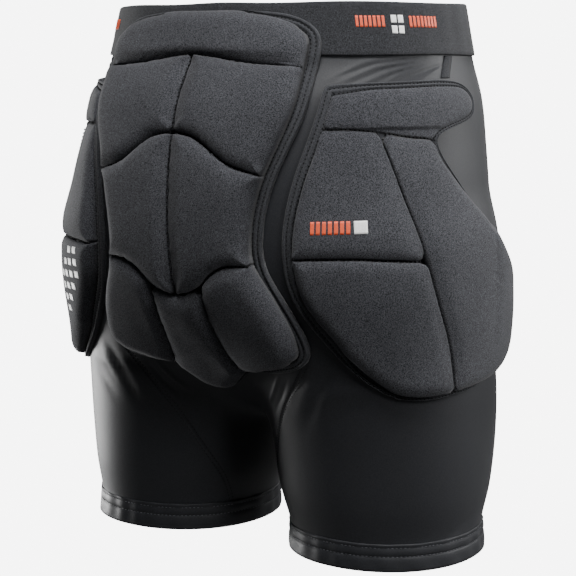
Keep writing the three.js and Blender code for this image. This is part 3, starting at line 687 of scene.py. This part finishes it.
def stitchRow(bm, line, normals, kind, closed=True):
    long, pitch, thick = stitches[kind]
    path = np.vstack([line, line[:1]]) if closed else line
    ups = np.vstack([normals, normals[:1]]) if closed else normals
    along = np.concatenate([[0], np.cumsum(np.linalg.norm(np.diff(path, axis=0), axis=1))])
    count = max(int(along[-1] / pitch), 1)
    for spot in np.linspace(0, along[-1], count, endpoint=False) + pitch / 2:
        start, end = [Vector(readAlong(path, along, spot + s * long / 2)) for s in (-1, 1)]
        up = Vector(readAlong(ups, along, spot)).normalized()
        way = (end - start).normalized()
        side = way.cross(up).normalized()
        for v in bmesh.ops.create_icosphere(bm, subdivisions=1, radius=1)["verts"]:
            a, b, c = v.co
            v.co = (start + end + way * a * long + side * b * thick + up * c * thick) / 2


# how far the thread stands above a groove's bottom, the fewest outline points that make a seam, and the
# jump in their numbers that shows where it starts
groove = {"stand": 0.0006, "fewest": 5, "jump": 3}


def grooveStitches(name, cells, pad, base):
    # dark stitches along the bottom of each groove between two cells
    threads = bmesh.new()
    spots = {key: onBody(*cell["grown"].T) for key, cell in cells.items()}
    for (_, key), (number, other) in itertools.combinations(enumerate(cells), 2):
        at = np.where(cells[key]["seam"] == number)[0]
        if len(at) < groove["fewest"]:
            continue
        # a seam that runs over the outline's first point is put back in order
        jump = np.where(np.diff(at) > groove["jump"])[0]
        at = np.roll(at, -(jump[0] + 1)) if len(jump) else at
        mine = spots[key][at]
        gaps = np.linalg.norm(mine[:, None] - spots[other][None], axis=2)
        turn, z = turnAndHeight((mine + spots[other][gaps.argmin(1)]) / 2)
        level = base + pad["foamAt"](turn, z) * ledgeBetween(key, other) + groove["stand"]
        stitchRow(threads, *lifted(onBody(turn, z), level), "groove", closed=False)
    return makeObject(name + "GrooveStitches", threads, darkThread)


# the folded edge binding: relief across its width as (share across, rise in mm), and its two stitch rows
bindingRelief = [(0.0, 0.2), (0.06, 1.3), (0.16, 1.9), (0.27, 1.7), (0.34, 1.05), (0.4, 0.85), (0.46, 1.05),
                 (0.56, 1.6), (0.68, 1.6), (0.78, 1.2), (0.84, 0.7), (0.9, 0.75), (1.0, 0.55), (1.0, -0.4)]
bindingRows = ((0.4, 0.95), (0.87, 0.85))


def makeBinding(name, loop, widths, base, nodes):
    lines = [(insetLoop(loop, widths * across), rise) for across, rise in bindingRelief] + [(loop, -0.4)]
    section = np.array([lifted(onBody(*line.T), base + rise / 1000)[0] for line, rise in lines])

    def place(share, row):
        return section[row, np.rint(share * len(loop)).astype(int) % len(loop)]

    return makeObject(name, bentGrid(len(loop), len(section), place), bindingCloth, nodes)


# the stretch shell: two legs and a torso fused, drawn onto the body face, cut open and given its wall
shell = {"torso": (0.035, -0.285), "leg": (-0.125, -0.425), "around": 96, "rings": 72, "cap": 0.2,
         "voxel": 0.0039, "pullReach": 0.025, "wall": 0.0015, "sink": 0.0003, "narrowFold": 2.5,
         "fineReach": 0.006, "foldReach": 0.02, "wave": 0.0003, "waveSize": 0.09}


def addBarrel(bm, heights, section, squareness, side=0):
    # a closed oval tube following the sections from one height down to another
    made = bmesh.ops.create_uvsphere(
        bm, u_segments=shell["around"], v_segments=shell["rings"], radius=1)["verts"]
    ball = np.array([v.co[:] for v in made])
    polar = np.arccos(np.clip(ball[:, 2], -1, 1))
    z = heights[0] + (heights[1] - heights[0]) * polar / math.pi
    size = np.minimum(1, np.sin(polar) / math.sin(shell["cap"]))
    angle = np.arctan2(ball[:, 1], ball[:, 0])
    cx, cy = np.cos(angle), np.sin(angle)
    out, aft, wide, back, front = section(z)
    deep = np.where(cy < 0, back, front)
    squared = (np.abs(cx) / wide) ** squareness + (np.abs(cy) / deep) ** squareness
    reach = size / squared ** (1 / squareness)
    for v, x, y, height in zip(made, cx * reach + side * out, cy * reach - aft, z):
        v.co = (x, y, height)


def remeshed(bm, voxel):
    # everything in the mesh fused into one even skin
    lump = addToScene("lump", meshFrom("lump", bm))
    modifier = lump.modifiers.new("fuse", "REMESH")
    modifier.mode = "VOXEL"
    modifier.voxel_size = voxel
    graph = bpy.context.evaluated_depsgraph_get()
    fused = bmesh.new()
    fused.from_mesh(bpy.data.meshes.new_from_object(lump.evaluated_get(graph)))
    bpy.data.objects.remove(lump, do_unlink=True)
    return fused


# tension folds that fan out from the tapes' tops: turn and down along each, then half width and rise in mm
waistFolds = [
    ([(46, 0.135), (58, 0.103), (72, 0.093), (85.6, 0.091)], 2.2, 0.5),
    ([(49.4, 0.128), (61, 0.105), (73.4, 0.097), (85.5, 0.095)], 1.1, -0.5),
    ([(49.9, 0.137), (61.7, 0.11), (74.2, 0.1), (85.4, 0.098)], 1.5, 0.7),
    ([(52.3, 0.14), (63, 0.115), (74.1, 0.103), (84.8, 0.1)], 1.0, -0.55),
    ([(54.8, 0.143), (64.3, 0.12), (74, 0.106), (84.3, 0.102)], 1.4, 0.7),
    ([(57.5, 0.144), (65.8, 0.122), (75, 0.109), (84.2, 0.103)], 0.9, -0.5),
    ([(60.9, 0.144), (67.1, 0.125), (75.6, 0.111), (84, 0.104)], 1.2, 0.6),
    ([(65, 0.144), (71, 0.127), (78, 0.114), (84, 0.106)], 1.0, -0.45),
    ([(70, 0.143), (75, 0.13), (80, 0.117), (84, 0.109)], 1.3, 0.5),
]
# folds of one leg by points in mm, with half width and rise, the seam last; the other leg mirrors them
inseam = [(86, -101, -242), (79, -99, -251), (69, -94, -264), (60, -89, -276), (50, -82, -291),
          (42, -72, -310), (34, -62, -330), (27, -50, -350), (22, -40, -374)]
legFolds = [
    ([(58, -95, -254), (49, -88, -266), (39, -79, -277)], 1.8, 1.0),
    ([(66, -96, -256), (56, -90, -270), (44, -81, -284)], 2.0, -0.8),
    ([(96, -100, -243), (85, -97, -260), (72, -92, -281)], 4.5, 0.9),
    ([(106, -98, -246), (93, -96, -267), (78, -91, -292)], 4.0, -0.9),
    ([(116, -95, -243), (103, -96, -259), (92, -94, -279)], 5.0, 0.9),
    ([(133, -84, -255), (107, -95, -260), (86, -95, -271)], 4.5, 1.1),
    ([(128, -86, -267), (118, -89, -274), (102, -92, -288)], 4.5, -0.9),
    ([(119, -93, -248), (88, -99, -252), (67, -94, -264)], 3.5, -0.8),
    ([(166, -29, -379), (170, -5, -371), (167, 18, -366)], 4.0, 0.8),
    ([(159, -46, -378), (168, -24, -370), (170, 0, -361)], 3.5, -0.7),
    (inseam, 1.3, -0.9),
]


def smoothPath(corners, count=160, rounds=60):
    # an even curve through a few points
    corners = np.array(corners, float)
    path = readAlong(corners, range(len(corners)), np.linspace(0, len(corners) - 1, count))
    for _ in range(rounds):
        path[1:-1] = path[1:-1] * 0.5 + (path[:-2] + path[2:]) * 0.25
    return path


def legPath(corners, side):
    # a curve of one leg in metres, drawn onto the body face
    path = smoothPath(corners) / 1000 * (side, 1, 1)
    for _ in range(3):
        path = path - bodyNormal(path) * bodyGap(path)[:, None]
    return path


def shellFolds():
    folds = []
    for side, _ in sides:
        for corners, wide, rise in waistFolds:
            path = smoothPath(corners)
            folds.append((onBody(np.radians(path[:, 0]) * side, zAt(path[:, 1])), wide, rise))
        folds += [(legPath(corners, side), wide, rise) for corners, wide, rise in legFolds]
    return folds


foldLines = shellFolds()


def foldHeight(points):
    total = np.zeros(len(points))
    for line, wide, rise in foldLines:
        low, high = line.min(0) - shell["foldReach"], line.max(0) + shell["foldReach"]
        near = ((points > low) & (points < high)).all(1)
        gaps = np.linalg.norm(points[near][:, None] - line[None], axis=2)
        share = gaps.argmin(1) / (len(line) - 1)
        taper = np.sin(np.clip(share, 0.02, 0.98) * math.pi) ** 0.5
        total[near] += rise / 1000 * taper * np.exp(-(gaps.min(1) / (wide / 1000)) ** 2)
    return total


shellNodes = [f"shell_{part}_{face}_{end}" for part in ("hip", "thigh") for face in ("back", "front")
              for _, end in sides]


def makeShell():
    bm = bmesh.new()
    addBarrel(bm, shell["torso"], torsoSection, joins["torsoSquareness"])
    for side, _ in sides:
        addBarrel(bm, shell["leg"], legSection, joins["legSquareness"], side)
    bm = remeshed(bm, shell["voxel"])
    for smoothing in (True, True, False):
        points = readPoints(bm)
        for _ in range(3):
            gap = bodyGap(points)
            near = np.abs(gap) < shell["pullReach"]
            points[near] -= bodyNormal(points[near]) * gap[near][:, None]
        writePoints(bm, points)
        if smoothing:
            softenVerts(bm, bm.verts)
    for height, way in ((bandBottomZ + shorts["bandLap"], 1), (zAt(1.0) + 0.0004, -1)):
        bmesh.ops.bisect_plane(bm, geom=bm.verts[:] + bm.edges[:] + bm.faces[:], plane_co=(0, 0, height),
                               plane_no=(0, 0, way), clear_outer=True)
    # a finer mesh beside the narrow folds alone
    narrow = np.vstack([line[::4] for line, wide, _ in foldLines if wide < shell["narrowFold"]])
    beside = distanceTo(readPoints(bm), narrow) < shell["fineReach"]
    bm.verts.index_update()
    fine = [e for e in bm.edges if all(beside[v.index] for v in e.verts)]
    bmesh.ops.subdivide_edges(bm, edges=fine, cuts=2, use_grid_fill=True)
    points = readPoints(bm)
    lift = foldHeight(points) + shell["wave"] * softWaves(points, shell["waveSize"], 3) - shell["sink"]
    writePoints(bm, points + bodyNormal(points) * lift[:, None])
    bmesh.ops.recalc_face_normals(bm, faces=bm.faces)
    obj = makeObject("stretchShell", bm, jersey, shellNodes)
    giveWall(obj, shell["wall"])
    return obj


shellPiece = makeShell()
print("stage: shell", len(shellPiece.data.polygons), "faces")

# leg hems: the folded end of each leg with its two rows of stitching at heights above the end
hem = {"around": 220, "rows": (0.0115, 0.018), "rowPoints": 260, "stand": 0.00055,
       "ripple": 0.00035, "ripples": 23, "inseamHalf": 0.0016, "guess": 0.075}


def legFace(side, angle, z):
    # the face of one leg below the crotch, from the leg's own axis
    out, aft = legSection(z)[:2]
    way = np.stack([np.sin(angle), -np.cos(angle), 0 * angle], -1)
    return closeIn(np.stack([side * out, -aft, z], -1), way, np.full(angle.shape, hem["guess"]))


# across the folded hem in mm: height above the leg's end, and rise from the face
hemProfile = np.array([
    (0.0, -1.5), (0.0, 0.1), (0.5, 0.75), (2.5, 1.0), (7, 1.0), (9.8, 0.95), (10.8, 0.6), (11.5, 0.2),
    (12.2, 0.6), (13.2, 0.95), (15, 1.0), (16.6, 0.9), (17.5, 0.6), (18.0, 0.5), (18.6, 0.6),
    (19.6, 0.85), (20.4, 0.75), (20.8, 0.4), (20.9, -1.2)])


def makeHem(side, name):
    def place(share, row):
        angle = share * math.tau
        up, rise = hemProfile[row].T
        face = legFace(side, angle, zAt(1.0) + up / 1000)
        wave = hem["ripple"] * np.sin(angle * hem["ripples"] + 2 * np.sin(angle * 3)) * (up > 2) * (rise > 0)
        return face + bodyNormal(face) * (rise / 1000 + wave)[:, None]

    fold = makeObject(name, bentGrid(hem["around"], len(hemProfile), place), jersey)
    threads = bmesh.new()
    angle = np.linspace(0, math.tau, hem["rowPoints"], endpoint=False)
    for height in hem["rows"]:
        face = legFace(side, angle, np.full(angle.shape, zAt(1.0) + height))
        normal = bodyNormal(face)
        stitchRow(threads, face + normal * hem["stand"], normal, "hem")
    return fold, makeObject(name + "Stitches", threads, paleThread)


def makeInseam(side, name):
    threads = bmesh.new()
    path = legPath(inseam, side)
    normal = bodyNormal(path)
    along = np.gradient(path, axis=0)
    across = np.cross(normal, along / np.linalg.norm(along, axis=1, keepdims=True))
    for shift in (-hem["inseamHalf"], hem["inseamHalf"]):
        line = path + across * shift - normal * shell["sink"]
        stitchRow(threads, line, normal, "inseam", closed=False)
    return makeObject(name, threads, darkThread)


hemPieces = []
for side, end in sides:
    hemPieces += makeHem(side, "legHem" + end.capitalize())
    hemPieces.append(makeInseam(side, "inseamStitches" + end.capitalize()))
print("stage: hems ready")

# the waistband: a woven elastic loop with soft edges, its section as (height, rise from the face) in mm
bandProfile = np.array([(-19.0, 0.5), (-18.6, 1.7), (-18.0, 2.1), (-16, 2.2), (-8, 2.25), (0, 2.25),
                        (8, 2.25), (16, 2.2), (18.0, 2.1), (18.6, 1.7), (19.0, 1.1), (18.6, 0.5),
                        (17, 0.1), (0, 0.05), (-17, 0.1)])
# and a sewn join beside the centre back, with turns in degrees and half widths in radians
band = {"around": 480, "flapTurn": 4.2, "flapHalf": 0.018, "flapRise": 1.5, "slitTurn": 3,
        "slitHalf": 0.004, "ripple": 0.00018, "ripples": 31, "sway": 0.0004, "sways": 7}


def makeWaistband():
    def place(share, row):
        turn = share * math.tau
        height, rise = bandProfile[row].T
        face = onBody(np.where(turn > math.pi, turn - math.tau, turn), height / 1000)
        normal = bodyNormal(face) * np.array([1, 1, 0])
        normal /= np.linalg.norm(normal, axis=1, keepdims=True)
        flap = np.exp(-((turn - math.radians(band["flapTurn"])) / band["flapHalf"]) ** 4)
        slit = np.exp(-((turn - math.radians(band["slitTurn"])) / band["slitHalf"]) ** 2)
        outer = rise + (band["flapRise"] * flap - slit) * (rise > 1)
        wave = band["ripple"] * np.sin(turn * band["ripples"] + 3 * np.sin(turn * 4)) * np.sign(rise - 0.5)
        face = face + normal * (outer / 1000 + wave)[:, None]
        sway = band["sway"] * np.sin(turn * band["sways"] + 1)
        face[:, 2] += sway * np.sign(height) * (np.abs(height) > 17)
        return face

    bm = bentGrid(band["around"], len(bandProfile), place)
    return makeObject("waistElastic", bm, elastic, ["waistband"])


bandPiece = makeWaistband()
print("stage: waistband ready")

# pads: a cloth panel, its binding, the stitched edge and the foam cells
panel = {"edge": 0.006, "top": shorts["clothGap"] + shorts["panelWall"],
         "toBinding": 0.0002, "toCells": 0.0001}


def makePanel(name, loop, base, nodes):
    # a sheet of backing cloth: the outline filled, cut finely and laid on the body
    bm = bmesh.new()
    bmesh.ops.create_circle(bm, cap_ends=True, segments=len(loop), radius=1)
    writePoints(bm, np.stack([loop[:, 0] * meanReach, loop[:, 1], 0 * loop[:, 0]], 1))
    for _ in range(7):
        bmesh.ops.triangulate(bm, faces=bm.faces)
        long = [e for e in bm.edges if e.calc_length() > panel["edge"]]
        if not long:
            break
        bmesh.ops.subdivide_edges(bm, edges=long, cuts=1)
    bmesh.ops.triangulate(bm, faces=bm.faces)
    points = readPoints(bm)
    writePoints(bm, lifted(onBody(points[:, 0] / meanReach, points[:, 1]), base + shorts["panelWall"])[0])
    bmesh.ops.recalc_face_normals(bm, faces=bm.faces)
    if sum(f.normal.xy.dot(f.calc_center_median().xy) for f in bm.faces) < 0:
        bmesh.ops.reverse_faces(bm, faces=bm.faces)
    giveWall(makeObject(name, bm, bindingCloth, nodes), shorts["panelWall"])


def makePad(name, outline, widths, cells, pad, panelNode, bindingNode):
    makePanel(name + "Panel", outline, shorts["clothGap"], [panelNode])
    bindingBase = panel["top"] + panel["toBinding"]
    makeBinding(name + "Binding", outline, widths, bindingBase, [bindingNode])
    threads = bmesh.new()
    for across, rise in bindingRows:
        face = onBody(*insetLoop(outline, widths * across).T)
        stitchRow(threads, *lifted(face, bindingBase + rise / 1000), "edge")
    makeObject(name + "Stitches", threads, darkThread)
    fitCells(cells, insetLoop(outline, widths))
    base = panel["top"] + panel["toCells"]
    made = {}
    for number, (key, cell) in enumerate(cells.items()):
        cellName = name + "Cell" + key[0].upper() + key[1:]
        made[key] = makeCushion(cellName, cell, pad, base, seed=number * 7 + len(name))
    grooveStitches(name, cells, pad, base)
    return made


tailPad["foamAt"] = tailFoam
tailLoop = placeOutline(tailPad["outline"], tailPad, 1, sharpest=70, softening=8, count=420)
tailPlaces = {}
for cellName, points in tailCells.items():
    for side, end in ((1, ""),) if points[0][0] == 0 else sides:
        tailPlaces[cellName + end.capitalize()] = {
            "loop": placeOutline(points, tailPad, side),
            "node": "tail_cell_" + cellName + ("_" + end if end else "")}
# over the centre of the waistband the top cell rolls over the panel's edge and hides the binding, and
# below the tip the binding narrows too: degrees round and shares down between which it does
tailNarrow = {"topEnd": 0.042, "topTurns": (27, 20), "tipDown": (0.89, 0.92), "tipTurns": (33, 27),
              "loss": 0.85}
down, turned = padShares(tailPad, *tailLoop.T)
overTop = (down < tailNarrow["topEnd"]) * between(turned, *tailNarrow["topTurns"])
underTip = between(down, *tailNarrow["tipDown"]) * between(turned, *tailNarrow["tipTurns"])
tailWidths = tailPad["binding"] * (1 - tailNarrow["loss"] * np.maximum(overTop, underTip))
makePad("tail", tailLoop, tailWidths, tailPlaces, tailPad, "tail_panel", "tail_binding")
print("stage: tailbone pad ready")

hipPad["foamAt"] = hipFoam
# the hip binding is broad on the tailbone side, narrow to the front, and a little broader on top
hipBroad = {"turns": (57, 49), "down": (0.92, 0.82), "topTurns": (88, 82), "topDown": (0.07, 0.04)}
hipPieces = {}
for side, end in sides:
    hipLoop = placeOutline(hipPad["outline"], hipPad, side, sharpest=70, softening=6, count=360)
    down, turned = padShares(hipPad, *hipLoop.T)
    beside = between(turned, *hipBroad["turns"]) * between(down, *hipBroad["down"])
    above = between(turned, *hipBroad["topTurns"]) * between(down, *hipBroad["topDown"])
    widths = hipPad["narrow"] + (hipPad["binding"] - hipPad["narrow"]) * beside
    widths = evened(widths + hipPad["topExtra"] * above * (1 - beside), 8)
    places = {key: {"loop": placeOutline(points, hipPad, side), "node": "hip_cell_" + key + "_" + end}
              for key, points in hipCells.items()}
    hipPieces[end] = makePad("hip" + end.capitalize(), hipLoop, widths, places, hipPad,
                             "hip_panel_" + end, "hip_binding_" + end)
print("stage: hip pads ready")

# short elastic tapes from the waistband to the hip pads: turns in degrees, the rest in metres
tape = {"topTurn": 86.5, "lowTurn": 83, "halfTurn": 1.9, "wall": 0.0011, "gap": 0.0002, "lap": 0.001}
# across in half widths, up in walls, the underside just inside the cloth
tapeSection = np.array([(-1, -0.2), (-0.9, 0.9), (-0.3, 1.15), (0.3, 1.15),
                        (0.9, 0.9), (1, -0.2), (0.5, -0.4), (-0.5, -0.4)])


def makeTape(side, end):
    def place(share, row):
        across, up = tapeSection[row].T
        z = bandBottomZ - tape["gap"] + (hipPad["top"] + tape["lap"] - bandBottomZ) * share
        middle = tape["topTurn"] + (tape["lowTurn"] - tape["topTurn"]) * share
        face = onBody(np.radians(middle + across * tape["halfTurn"]) * side, z)
        lift = foldHeight(face) - shell["sink"] + up * tape["wall"]
        return face + bodyNormal(face) * lift[:, None]

    bm = bentGrid(24, len(tapeSection), place)
    bmesh.ops.holes_fill(bm, edges=[e for e in bm.edges if e.is_boundary], sides=0)
    return makeObject("hangerTape" + end.capitalize(), bm, elastic, ["hanger_tape_" + end])


for side, end in sides:
    makeTape(side, end)
print("stage: tapes ready")

# plain dashes, bars and squares stand in for the prints, as thin films
film = {"wall": 0.00015, "lift": 0.00018, "from": 0.05, "missed": 0.01}


def treeOf(obj):
    mesh = obj.data
    return BVHTree.FromPolygons([v.co[:] for v in mesh.vertices], [p.vertices[:] for p in mesh.polygons])


def drop(tree, face):
    # points lowered onto a piece from outside
    landed = []
    for p, n in zip(face, bodyNormal(face)):
        hit = tree.ray_cast(Vector(p + n * film["from"]), Vector(-n))[0]
        landed.append((p + n * film["missed"] if hit is None else np.array(hit)) + n * film["lift"])
    return landed


def makeMark(name, tree, side, turn, z, size, tone):
    bm = bmesh.new()
    bmesh.ops.create_grid(bm, x_segments=10, y_segments=6, size=0.5)
    flat = readPoints(bm) + 0.5
    turns = np.radians(side * (turn + size[0] * flat[:, 0]))
    writePoints(bm, drop(tree, onBody(turns, z + size[1] * flat[:, 1])))
    bmesh.ops.recalc_face_normals(bm, faces=bm.faces)
    giveWall(makeObject(name, bm, tone), film["wall"])


# blocks of equal marks: tone, how many by turn and by height, the first one's turn in degrees and height
# in metres, the steps to the next, the size of one, and how far each column lies below the last
bandBlocks = [
    (coralPrint, (7, 1), (56.6, 0.0005), (1.25, 0), (0.8, 0.008), 0),
    (whitePrint, (2, 2), (66.8, -0.004), (2.1, 0.0075), (1.6, 0.0055), 0),
    (coralPrint, (8, 1), (72.4, 0.0005), (1.25, 0), (0.8, 0.008), 0),
]
hipBlocks = [
    (coralPrint, (7, 1), (41.4, -0.1435), (1.35, 0), (0.9, 0.009), 0),
    (whitePrint, (1, 1), (51.2, -0.1435), (0, 0), (3.0, 0.009), 0),
]
farHipBlocks = [(whitePrint, (4, 4), (43, -0.188), (3.4, 0.009), (2, 0.005), 0.0098)]


def addMarks(name, piece, side, blocks):
    tree = treeOf(piece)
    number = 0
    for tone, count, start, step, size, lean in blocks:
        for i, j in itertools.product(range(count[0]), range(count[1])):
            turn, z = start[0] + step[0] * i, start[1] + step[1] * j - lean * i
            makeMark(f"{name}Mark{number}", tree, side, turn, z, size, tone)
            number += 1


addMarks("band", bandPiece, 1, bandBlocks)
addMarks("farBand", bandPiece, -1, bandBlocks)
addMarks("hip", hipPieces["right"]["upper"], 1, hipBlocks)
addMarks("farHip", hipPieces["left"]["lower"], -1, farHipBlocks)
print("stage: prints ready")

# camera, light and floor: angles in degrees, and a focal length in pixels of a square picture
cameraView = {"azimuth": 35.0, "elevation": 8.0, "distance": 1.32, "focal": 1652, "picture": 576,
              "sensor": 36, "target": (0, 0, -0.203)}


def aimFrom(obj, place, aim):
    obj.location = place
    obj.rotation_euler = (Vector(aim) - Vector(place)).to_track_quat("-Z", "Y").to_euler()


def makeCamera():
    data = bpy.data.cameras.new("photoCamera")
    data.lens = cameraView["focal"] / cameraView["picture"] * cameraView["sensor"]
    data.sensor_width = cameraView["sensor"]
    data.clip_start = 0.01
    az, el = math.radians(cameraView["azimuth"]), math.radians(cameraView["elevation"])
    target = Vector(cameraView["target"])
    away = Vector((math.sin(az) * math.cos(el), -math.cos(az) * math.cos(el), math.sin(el)))
    camera = addToScene("photoCamera", data)
    aimFrom(camera, target + away * cameraView["distance"], target)
    scene.camera = camera


makeCamera()

lights = {
    "overhead": {"place": (0.4, -0.6, 1.25), "aim": (0, 0, 0), "size": 0.8, "power": 42},
    "key": {"place": (1.25, -0.5, 0.4), "aim": (0, 0, -0.05), "size": 0.45, "power": 9},
    "left": {"place": (-1.3, 0.0, -0.5), "aim": (-0.1, 0, -0.33), "size": 0.5, "power": 24},
    "right": {"place": (1.15, 0.95, 0.35), "aim": (0, 0, -0.2), "size": 0.8, "power": 28},
    "front": {"place": (-0.5, 1.6, 0.8), "aim": (0, 0, -0.1), "size": 1.2, "power": 14},
}


def makeLight(name, spec):
    data = bpy.data.lights.new(name, "AREA")
    data.shape = "DISK"
    data.size = spec["size"]
    data.energy = spec["power"]
    aimFrom(addToScene(name, data), spec["place"], spec["aim"])


for name, spec in lights.items():
    makeLight(name, spec)

# a dim sky lights the shorts, and the camera sees brightly lit white paper in place of sky and floor
studio = {"sky": 0.058, "paper": 7.0, "floorHalf": 6, "floorDrop": 0.25, "floorTone": 0.1}


def showPaper(tree, kind, plain, endName):
    seen = addNode(tree, "ShaderNodeLightPath")
    paper = addNode(tree, kind, inputs={"Color": (1, 1, 1, 1), "Strength": studio["paper"]})
    either = addNode(tree, "ShaderNodeMixShader", links={
        "Fac": (seen, "Is Camera Ray"), 1: (plain, 0), 2: (paper, 0)})
    tree.links.new(either.outputs[0], tree.nodes[endName].inputs["Surface"])


def makeSky():
    world = bpy.data.worlds.new("studio")
    scene.world = world
    world.use_nodes = True
    sky = world.node_tree.nodes["Background"]
    sky.inputs["Color"].default_value = (1, 1, 1, 1)
    sky.inputs["Strength"].default_value = studio["sky"]
    showPaper(world.node_tree, "ShaderNodeBackground", sky, "World Output")


def makeFloor():
    bm = bmesh.new()
    bmesh.ops.create_grid(bm, x_segments=1, y_segments=1, size=studio["floorHalf"])
    for v in bm.verts:
        v.co.z = zAt(1.0) - studio["floorDrop"]
    floor = addToScene("paleFloor", meshFrom("paleFloor", bm))
    grey = (*[studio["floorTone"]] * 3, 1)
    material, tree, shader = newMaterial("palePaper", {"Base Color": grey, "Roughness": 0.9})
    showPaper(tree, "ShaderNodeEmission", shader, "Material Output")
    floor.data.materials.append(material)


makeSky()
makeFloor()
print("stage: camera and light ready")
